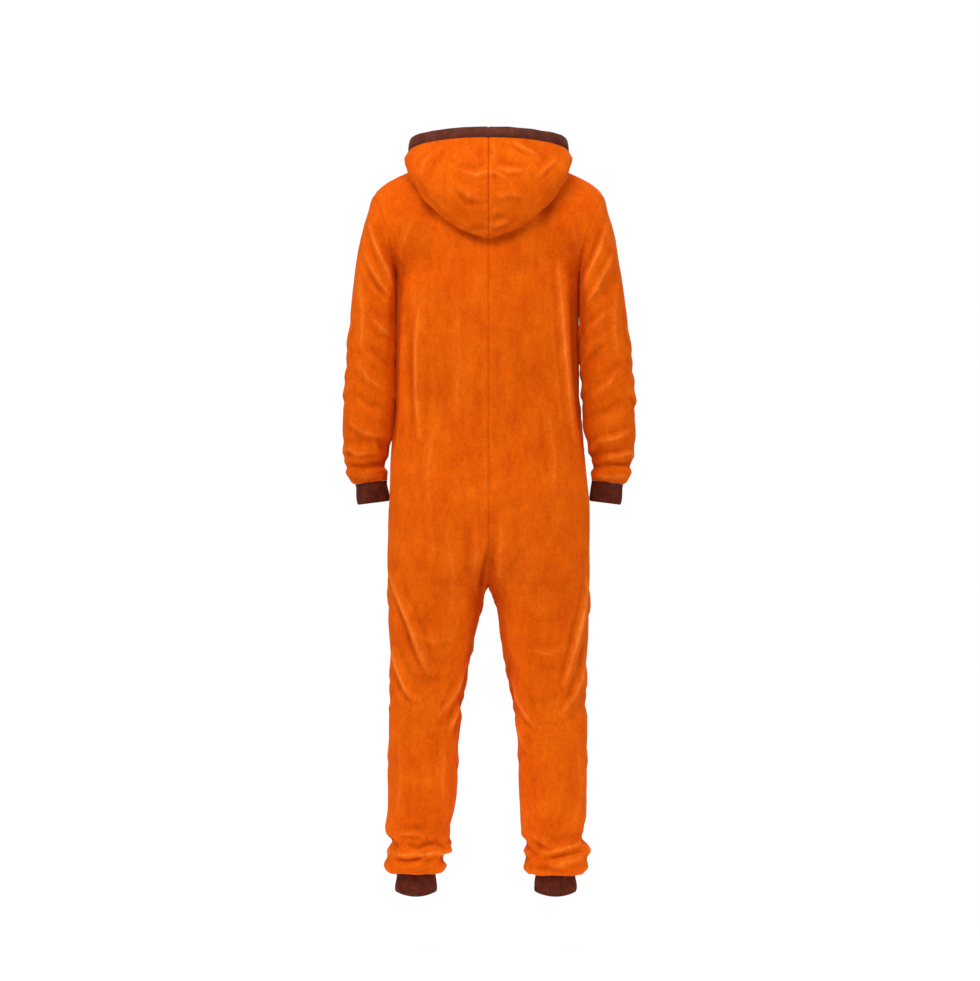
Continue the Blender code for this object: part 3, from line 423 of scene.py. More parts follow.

# %% [markdown]
# ## Creases, one by one
# Cloth this thick creases in soft ridges with a hollow beside them, not in sharp lines.
# A simulation would give creases of its own, in other places, so each one that shows is
# given one by one as a short line of points, in millimetres, with its width and height;
# the sides that the photograph hides get similar ones. A ridge fades in and out along
# its length and falls away more steeply on one side than on the other. Heights below
# zero make hollows.

# %% Creases of the body, legs and sleeves
# for each crease half its width, its height, and then x and z (on the left and right
# sides y and z) of each point along it, all in millimetres
CREASES = {"body": {}, "inseam": {}, "sleeve": {}}
CREASES["body"]["back"] = [
    # back, above and down its middle: faint, long and upright
    (11, 1.6, 150, -95, 172, -150, 176, -215),
    (10, 1.4, -168, -110, -182, -170, -180, -225),
    (16, 1.2, 62, -260, 58, -380, 66, -500),
    (14, -1.1, -52, -300, -60, -420, -50, -520),
    (12, 1.5, -118, -480, -132, -570, -128, -640),
    (13, 1.3, 110, -520, 122, -610, 112, -690),
    (8, 3.2, -138, -180, -145, -270, -151, -360, -159, -450, -171, -530),
    (9, -3.0, -162, -210, -169, -320, -174, -430, -182, -510),
    (8, 2.6, 138, -270, 145, -350, 145, -440, 137, -530),
    (9, -2.8, 163, -260, 161, -350, 158, -440, 153, -530),
    # back, seat: drag lines that run up and out from the crotch
    (8, -3.4, 1, -738, 4, -776, 8, -806, 15, -836),
    (14, -1.8, 3, -752, 10, -790, 13, -828),
    (13, 2.2, 28, -700, 24, -760, 30, -812),
    (13, 1.8, -26, -690, -24, -760, -22, -822),
    (12, -1.6, 58, -770, 34, -804, 14, -822),
    (12, -1.3, -64, -760, -40, -800, -18, -824),
    (17, 1.3, 88, -700, 70, -790, 74, -880),
    # back of the left leg
    (8, 4.2, 197, -800, 180, -850, 158, -902, 134, -966, 118, -1000),
    (10, -2.4, 186, -852, 168, -912, 146, -972),
    (8, 3.6, 194, -958, 180, -1000, 166, -1034, 150, -1052),
    (9, -2.0, 190, -990, 176, -1030, 160, -1052),
    (8, 3.2, 38, -974, 56, -1016, 78, -1060, 96, -1080),
    (10, -2.8, 33, -950, 44, -1010, 60, -1062),
    (7, 3.0, 55, -1056, 66, -1086, 78, -1112),
    (9, -3.0, 52, -1070, 60, -1102, 68, -1134),
    (11, 1.4, 150, -920, 110, -936, 72, -928),
    (10, -1.3, 160, -1000, 122, -1018, 84, -1010),
    (13, 1.3, 180, -1120, 174, -1200, 182, -1280),
    (11, 1.6, 84, -1130, 92, -1200, 88, -1270),
    # back of the right leg
    (8, 4.2, -199, -812, -190, -872, -176, -930, -160, -990, -150, -1024),
    (10, -2.4, -200, -860, -196, -930, -182, -990),
    (8, 3.4, -198, -960, -186, -1010, -168, -1048, -146, -1080),
    (8, 3.2, -42, -1006, -56, -1050, -76, -1086, -92, -1104),
    (10, -2.8, -30, -960, -42, -1020, -54, -1072),
    (7, 2.6, -56, -1100, -64, -1130, -74, -1156),
    (11, 1.3, -150, -950, -116, -962, -80, -950),
    (11, -1.3, -140, -1040, -112, -1056, -84, -1048),
    (12, -1.5, -68, -1140, -86, -1210, -80, -1290),
    (12, 1.4, -176, -1140, -184, -1220, -180, -1290),
    # left ankle: the leg piles up on the cuff in short, deep creases
    (5, -3.4, 158, -1345, 140, -1350, 122, -1343, 104, -1341, 86, -1352),
    (8, 3.4, 154, -1360, 132, -1364, 106, -1357, 88, -1364),
    (5, -3.6, 186, -1374, 164, -1377, 144, -1374, 126, -1366),
    (8, 2.6, 190, -1364, 168, -1364, 148, -1366),
    (6, -2.0, 176, -1312, 150, -1310, 126, -1312),
    (7, 2.0, 178, -1322, 156, -1320, 130, -1324),
    (5, -2.8, 196, -1336, 186, -1348, 190, -1358),
    (4, -1.8, 160, -1390, 142, -1393, 120, -1390),
    # right ankle
    (5, -3.6, -116, -1375, -142, -1368, -168, -1362, -194, -1356),
    (8, 3.0, -130, -1384, -156, -1376, -186, -1370),
    (8, 2.8, -108, -1360, -140, -1354, -176, -1344, -192, -1338),
    (5, -3.2, -84, -1386, -112, -1388, -148, -1393),
    (7, 1.8, -84, -1322, -100, -1334, -122, -1346),
    (6, -2.4, -90, -1334, -106, -1348, -126, -1352),
    (5, -2.6, -78, -1352, -90, -1362, -82, -1372),
]
CREASES["body"]["front"] = [
    # front: two soft swags at the top, drag lines across the hips and the knees below
    (15, 2.0, 60, -150, 96, -260, 110, -380, 96, -500),
    (15, 1.9, -64, -160, -92, -280, -112, -400, -90, -520),
    (12, -1.8, 140, -240, 150, -360, 142, -480),
    (12, -1.7, -138, -220, -152, -340, -140, -470),
    (10, 2.2, 38, -556, 78, -584, 128, -576),
    (10, 1.8, -44, -604, -84, -622, -124, -608),
    (9, 3.2, 20, -806, 60, -786, 108, -752, 152, -716),
    (9, 3.0, -20, -808, -62, -788, -106, -756, -150, -722),
    (10, -2.4, 26, -770, 66, -752, 110, -722),
    (10, -2.2, -24, -774, -64, -756, -108, -728),
    (9, 2.6, 40, -900, 84, -876, 140, -862),
    (9, 2.4, -42, -912, -86, -890, -138, -872),
    (11, -3.0, 62, -1030, 112, -1046, 168, -1032),
    (9, 2.8, 66, -1052, 114, -1070, 172, -1054),
    (11, -2.8, -58, -1042, -108, -1056, -166, -1044),
    (9, 2.6, -62, -1064, -110, -1080, -170, -1064),
    (11, 2.0, 80, -1140, 122, -1160, 176, -1148),
    (11, 1.9, -78, -1152, -120, -1170, -172, -1156),
    (12, 1.6, 96, -1210, 104, -1270, 96, -1310),
    (12, 1.6, -98, -1220, -106, -1280, -98, -1316),
    (5, -3.4, 100, -1344, 130, -1352, 164, -1346, 186, -1350),
    (8, 3.0, 98, -1360, 130, -1368, 168, -1362),
    (5, -3.2, 108, -1382, 140, -1378, 176, -1384),
    (6, -2.2, 90, -1314, 122, -1322, 158, -1316),
    (5, -3.4, -96, -1350, -126, -1344, -160, -1352, -184, -1346),
    (8, 3.0, -92, -1364, -126, -1360, -162, -1370),
    (5, -3.0, -104, -1384, -136, -1388, -168, -1380),
    (6, -2.2, -94, -1318, -124, -1312, -160, -1322),
    # front, the valleys of the two rows of topstitching beside the zip
    (4, -1.2, 9.5, -78, 9.5, -300, 9.5, -500, 9.5, -712),
    (4, -1.2, -9.5, -78, -9.5, -300, -9.5, -500, -9.5, -712),
]
CREASES["body"]["left"] = [
    # the two sides of the garment
    (12, 2.0, -40, -420, 10, -520, 24, -640),
    (10, 2.6, 60, -800, 10, -850, -50, -880),
    (9, 2.6, 52, -960, 6, -1000, -46, -1030),
    (10, -2.6, 44, -1040, 0, -1062, -50, -1050),
    (11, 1.8, 40, -1150, 0, -1170, -44, -1156),
    (6, -3.0, 36, -1334, 6, -1342, -30, -1336),
    (6, -2.8, 40, -1382, 6, -1374, -34, -1384),
    (8, 2.8, 46, -1360, 6, -1362, -40, -1358),
]
CREASES["body"]["right"] = [
    (12, 1.9, -44, -400, 6, -500, 22, -620),
    (10, 2.5, 58, -824, 8, -870, -52, -896),
    (9, 2.5, 50, -980, 4, -1020, -48, -1044),
    (10, -2.6, 42, -1050, -2, -1074, -52, -1060),
    (11, 1.8, 40, -1160, 0, -1184, -44, -1166),
    (6, -3.0, 38, -1342, 4, -1334, -32, -1344),
    (6, -2.8, 36, -1372, 2, -1380, -36, -1372),
    (8, 2.8, 44, -1356, 4, -1358, -38, -1360),
]
CREASES["inseam"]["right"] = [
    # inner sides of the legs, seen past the other leg
    (9, 2.4, 46, -930, 4, -960, -40, -950),
    (10, -2.4, 40, -1060, 0, -1080, -40, -1066),
    (6, -3.0, 34, -1346, 4, -1352, -30, -1344),
    (6, -2.6, 34, -1378, 4, -1372, -30, -1380),
]
CREASES["inseam"]["left"] = [
    (9, 2.4, 44, -946, 0, -976, -42, -960),
    (10, -2.4, 40, -1072, 0, -1092, -40, -1080),
    (6, -3.0, 34, -1352, 4, -1346, -30, -1354),
    (6, -2.6, 34, -1376, 4, -1384, -30, -1376),
]
CREASES["sleeve"]["back"] = [
    # left sleeve, back
    (8, 3.6, 238, -104, 226, -140, 208, -186, 194, -226),
    (9, -2.6, 228, -116, 214, -150, 200, -186),
    (8, 3.2, 246, -164, 232, -196, 214, -224, 198, -244),
    (10, -2.4, 240, -190, 222, -224, 204, -246),
    (10, 1.8, 258, -210, 250, -280, 254, -350),
    (9, 2.2, 232, -292, 214, -312, 196, -326),
    (10, -2.6, 238, -346, 216, -372, 198, -388),
    (10, 2.2, 262, -380, 240, -412, 212, -432),
    (9, -2.0, 266, -440, 240, -462, 212, -470),
    (9, 2.4, 278, -500, 250, -520, 212, -528),
    (9, -3.2, 222, -530, 212, -552, 206, -574),
    (8, 2.8, 284, -552, 262, -562, 230, -560),
    (6, -3.0, 276, -586, 250, -592, 222, -588, 206, -580),
    (6, 2.0, 270, -604, 244, -606, 216, -602),
    # right sleeve, back
    (8, 3.4, -236, -108, -224, -146, -206, -190, -192, -226),
    (9, -2.4, -226, -120, -212, -154, -198, -190),
    (8, 3.0, -246, -168, -230, -204, -214, -234, -200, -256),
    (10, -2.2, -240, -200, -222, -236, -206, -260),
    (10, 1.8, -256, -230, -250, -300, -258, -370),
    (9, 2.2, -236, -276, -216, -300, -196, -316),
    (10, -2.4, -236, -336, -212, -362, -194, -380),
    (10, 2.2, -262, -392, -240, -424, -210, -444),
    (9, -2.2, -268, -450, -240, -474, -206, -484),
    (9, 2.6, -284, -516, -252, -532, -214, -540),
    (9, -3.0, -226, -540, -216, -562, -210, -582),
    (7, -3.0, -290, -576, -270, -586, -240, -584, -216, -590),
    (7, 2.6, -286, -560, -262, -566, -232, -568),
    (6, 2.0, -272, -604, -246, -608, -218, -604),
]
CREASES["sleeve"]["front"] = [
    # sleeves, front
    (10, 2.6, 242, -120, 224, -170, 200, -220),
    (10, 2.4, -240, -126, -222, -176, -198, -226),
    (10, 3.0, 276, -322, 246, -352, 212, -384),
    (10, 2.8, -278, -330, -246, -362, -212, -394),
    (9, -3.0, 280, -360, 250, -388, 210, -410),
    (9, -2.8, -282, -372, -250, -398, -210, -420),
    (9, 2.6, 282, -412, 250, -430, 208, -444),
    (9, 2.6, -284, -420, -252, -440, -208, -456),
    (9, -2.4, 284, -470, 252, -480, 212, -500),
    (9, -2.4, -286, -480, -252, -492, -212, -510),
    (8, 2.6, 286, -548, 252, -556, 214, -548),
    (8, 2.6, -288, -556, -254, -562, -216, -556),
    (6, -3.0, 280, -586, 246, -590, 212, -584),
    (6, -3.0, -280, -584, -246, -592, -214, -586),
]
CREASES["sleeve"]["left"] = [
    # sleeves, outer side
    (10, 2.4, 40, -300, 0, -340, -40, -352),
    (10, -2.6, 38, -366, 0, -392, -44, -384),
    (9, 2.6, 36, -430, -2, -446, -46, -432),
    (8, 2.6, 30, -552, -10, -560, -52, -552),
    (6, -3.0, 28, -588, -12, -592, -52, -586),
]
CREASES["sleeve"]["right"] = [
    (10, 2.4, 40, -310, 0, -350, -40, -362),
    (10, -2.6, 38, -378, 0, -402, -44, -394),
    (9, 2.6, 36, -440, -2, -458, -46, -444),
    (8, 2.6, 30, -560, -10, -566, -52, -560),
    (6, -3.0, 28, -584, -12, -590, -52, -586),
]
RELIEF = 1.3               # all heights in the tables, times this
CREST = 3.2 * MM           # half the width of the painted highlight along a crease's crest
STEEP, GENTLE = 0.75, 1.35     # shares of its width that a ridge has on its two sides
# the hollow beside a ridge: its depth by the ridge's height, the rest by its half width
HOLLOW, HOLLOW_AT, HOLLOW_WIDTH = 0.38, 1.9, 0.8
# how squarely the cloth has to face a side for its creases to start, and to be full
TURNED_FROM, TURNED_FULL = 0.05, 0.35
FACING = {"back": (0.0, 1.0, 0.0), "front": (0.0, -1.0, 0.0),
          "left": (1.0, 0.0, 0.0), "right": (-1.0, 0.0, 0.0)}


def bell(value):
    """1 at 0, and next to nothing from 2 on."""
    return np.exp(-value ** 2)


def lengths(line):
    """How far along the line each of its points is."""
    return np.concatenate([[0.0], np.cumsum(np.linalg.norm(np.diff(line, axis=0), axis=1))])


def beside(places, line):
    """How far each place is from the line, how far along it, as a share, and on which
    side of it."""
    starts = lengths(line)
    best = np.full(len(places), np.inf)
    along, signed = np.zeros(len(places)), np.zeros(len(places))
    for i in range(len(line) - 1):
        step = np.linalg.norm(line[i + 1] - line[i])
        way = (line[i + 1] - line[i]) / step
        t = np.clip((places - line[i]) @ way, 0.0, step)
        off = places - line[i] - t[:, None] * way
        away = np.linalg.norm(off, axis=1)
        closer = away < best
        best[closer] = away[closer]
        along[closer] = (starts[i] + t[closer]) / starts[-1]
        signed[closer] = (off[:, 0] * way[1] - off[:, 1] * way[0])[closer]
    return best, along, signed


def crease_rise(points, normals, creases):
    """How far the creases of each side lift each point, in metres, and how much painted
    highlight goes on their crests."""
    rise, crest_highlight = np.zeros(len(points)), np.zeros(len(points))
    for side, rows in creases.items():
        facing = normals @ np.array(FACING[side])
        flat = points[:, [0, 2]] if side in ("back", "front") else points[:, [1, 2]]
        for half_width, height, *line in rows:
            line = np.array(line, float).reshape(-1, 2) * MM
            reach = 4 * half_width * MM
            low, high = line.min(axis=0) - reach, line.max(axis=0) + reach
            near = np.flatnonzero(np.all((flat > low) & (flat < high), axis=1)
                                  & (facing > TURNED_FROM))
            if not len(near):
                continue
            best, along, signed = beside(flat[near], line)
            # it fades towards both ends, and gets narrower there
            fade = np.sin(np.pi * np.clip(0.08 + 0.84 * along, 0.0, 1.0)) ** 0.8
            wide = half_width * MM * (0.7 + 0.35 * fade) * np.where(signed > 0, GENTLE, STEEP)
            away = best / wide
            form = np.exp(-away**1.6) - HOLLOW * bell((away - HOLLOW_AT) / HOLLOW_WIDTH)
            turned = np.clip(facing[near] / TURNED_FULL, 0.0, 1.0)
            rise[near] += RELIEF * height * MM * fade * form * turned
            crest_highlight[near] += height / 4 * fade * turned * bell(best / CREST)
    return rise, crest_highlight


print(sum(len(rows) for part in CREASES.values() for rows in part.values()),
      "creases on the body and sleeves")

# %% [markdown]
# ## Seams, lumps and rolled ends
# A seam in plush is a narrow valley: the stitching pulls both edges down and in, the
# pile closes over it, and the cloth beside it stands up a little and puckers. The rows
# of cells beside each seam are drawn closer to it first, so that the valley can be
# narrow. Small lumps keep the cloth between the creases from looking like plastic, and
# each leg and sleeve rolls over the top of its cuff.

# %% Seams
BODY_VALLEY, HOOD_VALLEY = 0.6 * MM, 1.2 * MM      # depth of a seam's valley
VALLEY_WIDTH, VALLEY_SHADE = 2.0 * MM, 1.2 * MM    # half its width, and its shadow's
SHADED = 1.3 * MM          # a valley this deep is in full shadow
NEAR_SEAM, DRAWN = 16 * MM, 0.42   # how far the closer rows reach, how close they come
WELT, WELT_AT, WELT_WIDTH = 0.6 * MM, 7 * MM, 3.5 * MM     # the cloth beside the valley
CALM_BORDER, CALM_SEAM = 9 * MM, 5 * MM    # creases are flatter this near to them
SWELL_BORDER = 20 * MM     # the largest lumps are flatter this near to a border
PUCKERED = 7 * MM          # how far from a seam the cloth puckers
# rise of a crease, and of the finished surface over its surroundings, that takes the
# painted shade and highlight on the pile from its middle right up to full highlight
CREASE_SHADE, CREST_SHADE = 20 * MM, 1.5 * MM
# height (or share), size and seed of the lumps in loose cloth, beside a seam and at an end
SWELLS, HUMPS, DIMPLES = (1.3 * MM, 62 * MM, 1), (0.5 * MM, 19 * MM, 2), (0.22 * MM, 8 * MM, 3)
PUCKERS, UNEVEN = (0.7 * MM, 11 * MM, 4), (0.30, 26 * MM, 5)
# a rolled end, all from its border up: where it is roundest, and where the swelling
# begins to go down and over how far it does; the middle and half width of its droop
ROUND, SWOLLEN, EASES = 22 * MM, 15, 26
DROOP_AT, DROOP_WIDTH, DROOP_FOOT = 8 * MM, 6 * MM, 4 * MM
END_REACH = 44 * MM
OFF_CENTRE = 50 * MM       # the ends of legs and sleeves are further out, the zip is not


def edges_of(quads):
    """The two points of every edge of every cell, in the order round the cells."""
    return np.stack([quads, np.roll(quads, -1, axis=1)], axis=-1).reshape(-1, 2)


def meeting_edges(quads, kinds):
    """The edges where two pieces meet, and those of the open borders."""
    ends = np.sort(edges_of(quads), axis=1)
    owner = np.repeat(kinds, 4)
    order = np.lexsort((ends[:, 1], ends[:, 0]))
    ends, owner = ends[order], owner[order]
    same = np.all(ends[1:] == ends[:-1], axis=1)
    twice = np.concatenate([same, [False]]) | np.concatenate([[False], same])
    return ends[:-1][same & (owner[1:] != owner[:-1])], ends[~twice]


def distance_to(points, quads, kinds, edges):
    """Each point's distance to the nearest of its own piece's edges, and that place."""
    away, foot = np.full(len(points), 1.0), points.copy()
    for kind in range(kinds.max() + 1):
        own = np.unique(quads[kinds == kind])
        mine = edges[np.all(np.isin(edges, own), axis=1)]
        if not len(mine):
            continue
        first, last = points[mine[:, 0]], points[mine[:, 1]]
        tree = tree_of(np.concatenate([first + (last - first) * t
                                       for t in (0.0, 0.25, 0.5, 0.75, 1.0)]))
        for i in own:
            spot, _, distance = tree.find(points[i])
            if distance < away[i]:
                away[i], foot[i] = distance, spot
    return away, foot


def soft_step(value):
    """0 below 0, 1 above 1, and a soft step between."""
    t = np.clip(value, 0.0, 1.0)
    return t * t * (3 - 2 * t)


def lumps(points, height, size, seed):
    """Smooth random heights up to this height, alike over about that size."""
    offset = Vector((seed * 7.3, seed * 3.1, seed * 5.7))
    return height * np.array([wander(Vector(p) / size + offset) for p in points])


def standing_out(points, quads, normals):
    """How far each point stands out from the middle of its neighbours, smoothed once."""
    ends = edges_of(quads)
    count = np.zeros(len(points))
    for k in (0, 1):
        np.add.at(count, ends[:, k], 1)

    def around(values):
        total = np.zeros_like(values)
        np.add.at(total, ends[:, 0], values[ends[:, 1]])
        np.add.at(total, ends[:, 1], values[ends[:, 0]])
        return total / count.reshape(-1, *[1] * (values.ndim - 1))

    out = np.sum((points - around(points)) * normals, axis=1)
    return 0.5 * (out + around(out))


def dressed(points, quads, kinds, parts, valley, ends=()):
    """Creases, seams and lumps on a smooth surface.

    Parts are the numbers of some points and the creases that they take; ends are the
    rolled borders. Returns the new points, their normals, and the numbers that paint
    shade into the hollows and seams and highlight onto the ridges and crests of the pile.
    """
    seam, border = meeting_edges(quads, kinds)
    away, foot = distance_to(points, quads, kinds, seam)
    closer = DRAWN + (1 - DRAWN) * soft_step(away / NEAR_SEAM)
    points = foot + (points - foot) * closer[:, None]
    away = away * closer
    normals = normals_of(points, quads)
    rise, crest_highlight = np.zeros(len(points)), np.zeros(len(points))
    for own, creases in parts:
        lifted, highlighted = crease_rise(points[own], normals[own], creases)
        rise[own] += lifted
        crest_highlight[own] += highlighted
    edge, near = distance_to(points, quads, kinds, border)
    # creases flatten towards the borders and the seams
    rise *= soft_step(edge / CALM_BORDER) * 0.8 + 0.2
    rise *= 1 - 0.55 * bell(away / CALM_SEAM)
    crease = rise.copy()
    rise += lumps(points, *SWELLS) * soft_step(edge / SWELL_BORDER)
    rise += lumps(points, *HUMPS) + lumps(points, *DIMPLES)
    rise -= valley * bell(away / VALLEY_WIDTH)
    rise += WELT * bell((away - WELT_AT) / WELT_WIDTH)
    rise += lumps(foot, *PUCKERS) * bell(away / PUCKERED)
    moved = points + normals * rise[:, None]
    for low, high, side, axis, out, down in ends:
        own = (near[:, 2] > low) & (near[:, 2] < high) & (near[:, 0] * side > OFF_CENTRE)
        own &= edge < END_REACH
        up = edge[own]
        swell = 1 - (1 - np.clip(up / ROUND, 0, 1)) ** 2
        swell *= 1 - soft_step((up / MM - SWOLLEN) / EASES)
        uneven = 1 + lumps(near[own], *UNEVEN)
        moved[own] += normals[own] * (out * swell * uneven)[:, None]
        droop = bell((up - DROOP_AT) / DROOP_WIDTH) * soft_step(up / DROOP_FOOT)
        moved[own] += np.array(axis) * (down * droop * uneven)[:, None]
    normals = normals_of(moved, quads)
    # the crests of the finished surface get painted highlight, and its hollows painted shade,
    # as the creases do
    crest = standing_out(moved, quads, normals)
    # painted light on the pile's colour: the ridge number paints shade into hollows and
    # highlight onto ridges, the crest number a highlight along the creases' crests, the seam
    # number a shadow in the seams' valleys
    crease_shade_and_highlight = 0.5 + crease / CREASE_SHADE + crest / CREST_SHADE
    colouring = {"crease_shade_and_highlight": np.clip(crease_shade_and_highlight, 0, 1), "crest": np.clip(crest_highlight, 0, 1),
                 "seam": bell(away / VALLEY_SHADE) * valley / SHADED}
    return moved, normals, colouring


# %% Dressing the body and sleeves
# the open edges down the front, and from them the middle of the zip
ZIP_TOP_Z, ZIP_FOOT_Z, ZIP_PLACES = -84 * MM, -704 * MM, 400
NEAR_CENTRE, FRONT_Y = 5 * MM, -30 * MM
open_edge = np.unique(meeting_edges(body_cells, body_kinds)[1])
open_edge = open_edge[(np.abs(body_points[open_edge, 0]) < NEAR_CENTRE)
                      & (body_points[open_edge, 1] < FRONT_Y)]
edge = body_points[open_edge]
edge = edge[np.argsort(-edge[:, 2])]
heights = np.linspace(ZIP_TOP_Z, ZIP_FOOT_Z, ZIP_PLACES)
depths = np.interp(-heights, -edge[:, 2], edge[:, 1])
zip_line = np.stack([np.zeros(ZIP_PLACES), depths, heights], axis=-1)
# below the last tooth the two front edges meet
meets = open_edge[body_points[open_edge, 2] < ZIP_FOOT_Z + 2 * MM]
body_points[meets, 0] = 0.0
print(len(meets), "edge points meet below the zip")

FIRST_SLEEVE = BODY.index("sleeve_left")
sleeve_points = np.unique(body_cells[body_kinds >= FIRST_SLEEVE])
panel_points = np.setdiff1d(np.arange(len(body_points)), sleeve_points)
LEG_INSIDE = -0.86         # below this height the inner sides of the legs show
LEG_MIDDLE = 0.125         # about how far the middle of a leg is from the centre
inseam_points = panel_points[(body_points[panel_points, 2] < LEG_INSIDE)
                             & (np.abs(body_points[panel_points, 0]) < LEG_MIDDLE)]
# the sleeves hang against the body, so their inner sides press towards it:
# side of the body, lowest and highest place, how far
PRESSED = [(1, -0.57, -0.19, 6.5 * MM), (-1, -0.43, -0.19, 6.0 * MM),
           (-1, -0.545, -0.48, 4.0 * MM)]
PRESS_EASES = 0.05         # the pressing fades over this height
FULLY_INWARD = 0.6         # cloth that faces the body this squarely is fully pressed
smooth_normals = normals_of(body_points, body_cells)[sleeve_points]
height = body_points[sleeve_points, 2]
for side, low, high, press in PRESSED:
    share = (soft_step((height - low) / PRESS_EASES) * soft_step((high - height) / PRESS_EASES)
             * soft_step(-side * smooth_normals[:, 0] / FULLY_INWARD)
             * (body_points[sleeve_points, 0] * side > 0))
    body_points[sleeve_points, 0] -= side * press * share
BODY_PARTS = [(panel_points, CREASES["body"]), (inseam_points, CREASES["inseam"]),
              (sleeve_points, CREASES["sleeve"])]
# lowest and highest place of a rolled end, its side of the body, its way down, and how
# far it swells and droops
BODY_ENDS = [
    (-1.43, -1.39, 1, (0.0, 0.0, -1.0), 10.0 * MM, 1.5 * MM),
    (-1.43, -1.39, -1, (0.0, 0.0, -1.0), 10.0 * MM, 4.5 * MM),
    (-0.64, -0.59, 1, (0.0, -0.05, -1.0), 3.0 * MM, 3.0 * MM),
    (-0.64, -0.59, -1, (0.0, -0.05, -1.0), 3.0 * MM, 2.0 * MM),
]
body_points, body_normals, body_colouring = dressed(
    body_points, body_cells, body_kinds, BODY_PARTS, BODY_VALLEY, BODY_ENDS)
print("body and sleeves:", len(body_cells), "cells")

# %% [markdown]
# ## Cloth with two sides
# Each piece becomes a closed shell as thick as the fleece: the outer side, the same
# surface again 3 mm further in, and a rim between them.

# %% Cutting the pieces apart
OVERLAP = 0.03 * MM        # how far a piece runs past the middle of its seam


def new_piece(name, points, faces, surface, numbers=None, turned=True):
    """A smooth shaded object from points and faces, with numbers at its points and, where
    turned, with its faces turned outward."""
    mesh = bpy.data.meshes.new(name)
    mesh.from_pydata(np.asarray(points).tolist(), [], faces)
    for label, values in (numbers or {}).items():
        layer = mesh.attributes.new(label, "FLOAT", "POINT")
        layer.data.foreach_set("value", np.asarray(values, np.float32).ravel())
    if turned:
        work = bmesh.new()
        work.from_mesh(mesh)
        bmesh.ops.recalc_face_normals(work, faces=work.faces[:])
        work.to_mesh(mesh)
        work.free()
    mesh.shade_smooth()
    mesh.materials.append(surface)
    return linked(name, mesh)


def shell(name, points, quads, normals, colouring):
    """A closed shell of fleece from its outer surface, as an object."""
    used = np.unique(quads)
    renumber = np.full(used.max() + 1, -1)
    renumber[used] = np.arange(len(used))
    cells, outer, inward = renumber[quads], points[used].copy(), normals[used]
    ends = edges_of(cells).tolist()
    known = set(map(tuple, ends))
    border = np.array([(a, b) for a, b in ends if (b, a) not in known])
    middle = np.zeros_like(outer)
    for k in range(4):
        np.add.at(middle, cells[:, k], outer[cells].mean(axis=1) - outer[cells[:, k]])
    edge = np.unique(border)
    outer[edge] -= unit(middle[edge]) * OVERLAP
    size = len(outer)
    everything = np.concatenate([outer, outer - inward * WALL])
    faces = np.concatenate([cells, cells[:, ::-1] + size,
                            np.stack([border[:, 1], border[:, 0], border[:, 0] + size,
                                      border[:, 1] + size], axis=1)])
    numbers = {label: np.tile(values[used], 2) for label, values in colouring.items()}
    piece = new_piece(name, everything, faces.tolist(), fleece, numbers, turned=False)
    area = sum(p.area for p in piece.data.polygons) / 2
    print(f"{name}: {2 * len(faces)} triangles, {area:.3f} square metres of cloth")
    return piece


def settle(piece, node_name):
    """A garment piece rides on the garment, and the solid that it stands for is hidden."""
    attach(piece, "garment")
    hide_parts(node_name)


def cut_apart(names, points, cells, kinds, normals, colouring):
    """The pieces of one dressed surface, each made as a shell and settled on the garment."""
    for index, name in enumerate(names):
        piece = shell(name + "_plush", points, cells[kinds == index], normals, colouring)
        settle(piece, name)


cut_apart(BODY, body_points, body_cells, body_kinds, body_normals, body_colouring)

# %% [markdown]
# ## The hood
# The hood is two halves with a seam from the face edge to the neck. It hangs down on
# the back as a pouch that has sagged under its own weight: shallow swags run across it
# below the edge, a hollow beside the centre seam, and near the tip both halves pucker.

# %% The hood's creases and its two halves
HOOD_CREASES = {
    "back": [
        (10, -1.7, 76, 20, 52, 8, 28, -5, 8, -2),
        (6, 2.4, 50, -4, 24, -12, 4, -5, -14, -6, -30, -14),
        (10, -1.3, 17, 54, 22, 30, 14, 10),
        (7, 1.8, -9, 52, -13, 34, -10, 18),
        (9, -1.4, -14, 22, -34, 10, -60, 8, -82, 16),
        (6, 2.2, -20, 2, -44, -4, -66, -2),
        (6, 2.6, -50, 54, -70, 42, -92, 32),
        (10, -1.4, -78, 48, -100, 38, -116, 24),
        (6, 2.4, -98, -14, -114, 2, -132, 20),
        (8, 2.2, 56, -34, 40, -48, 14, -54),
        (9, -1.1, 62, -46, 44, -60, 18, -68),
        (10, -1.1, 96, 30, 112, 8, 118, -20),
        (8, 2.0, 112, 34, 130, 12, 132, -12),
        (6, -1.8, -3, -98, -18, -93, -36, -84),
        (6, 2.0, -6, -108, -24, -102, -42, -92),
        (6, -1.6, 38, -112, 22, -110, 6, -112),
        (8, 1.8, -20, -50, -46, -44, -74, -52),
        (10, -1.1, -18, -70, -44, -66, -70, -74),
        (4, -1.6, 147, -8, 133, -38, 103, -72, 68, -100, 40, -116),
    ],
    "left": [
        (20, 1.2, 90, 34, 50, 32, 10, 28, -30, 18),
        (15, -2.6, 90, 8, 50, 8, 10, 6, -20, 0),
        (8, 2.4, 96, -20, 60, 10, 10, 24),
        (8, -2.2, 80, -36, 40, -6, -10, 8),
    ],
    "right": [
        (20, 1.2, 90, 34, 50, 32, 10, 28, -30, 18),
        (15, -2.6, 90, 8, 50, 8, 10, 6, -20, 0),
        (8, 2.4, 92, -24, 56, 8, 8, 22),
        (8, -2.2, 78, -38, 38, -8, -12, 6),
    ],
    "front": [
        (7, 2.0, 30, -20, 62, -6, 96, 10),
        (7, 2.0, -28, -22, -60, -8, -94, 8),
        (6, -1.8, 20, -44, 56, -30, 92, -10),
        (6, -1.8, -22, -44, -58, -30, -94, -12),
    ],
}
HOOD = ["hood_left", "hood_right"]
hood_points, hood_cells, hood_kinds = refined(*sewn(HOOD))
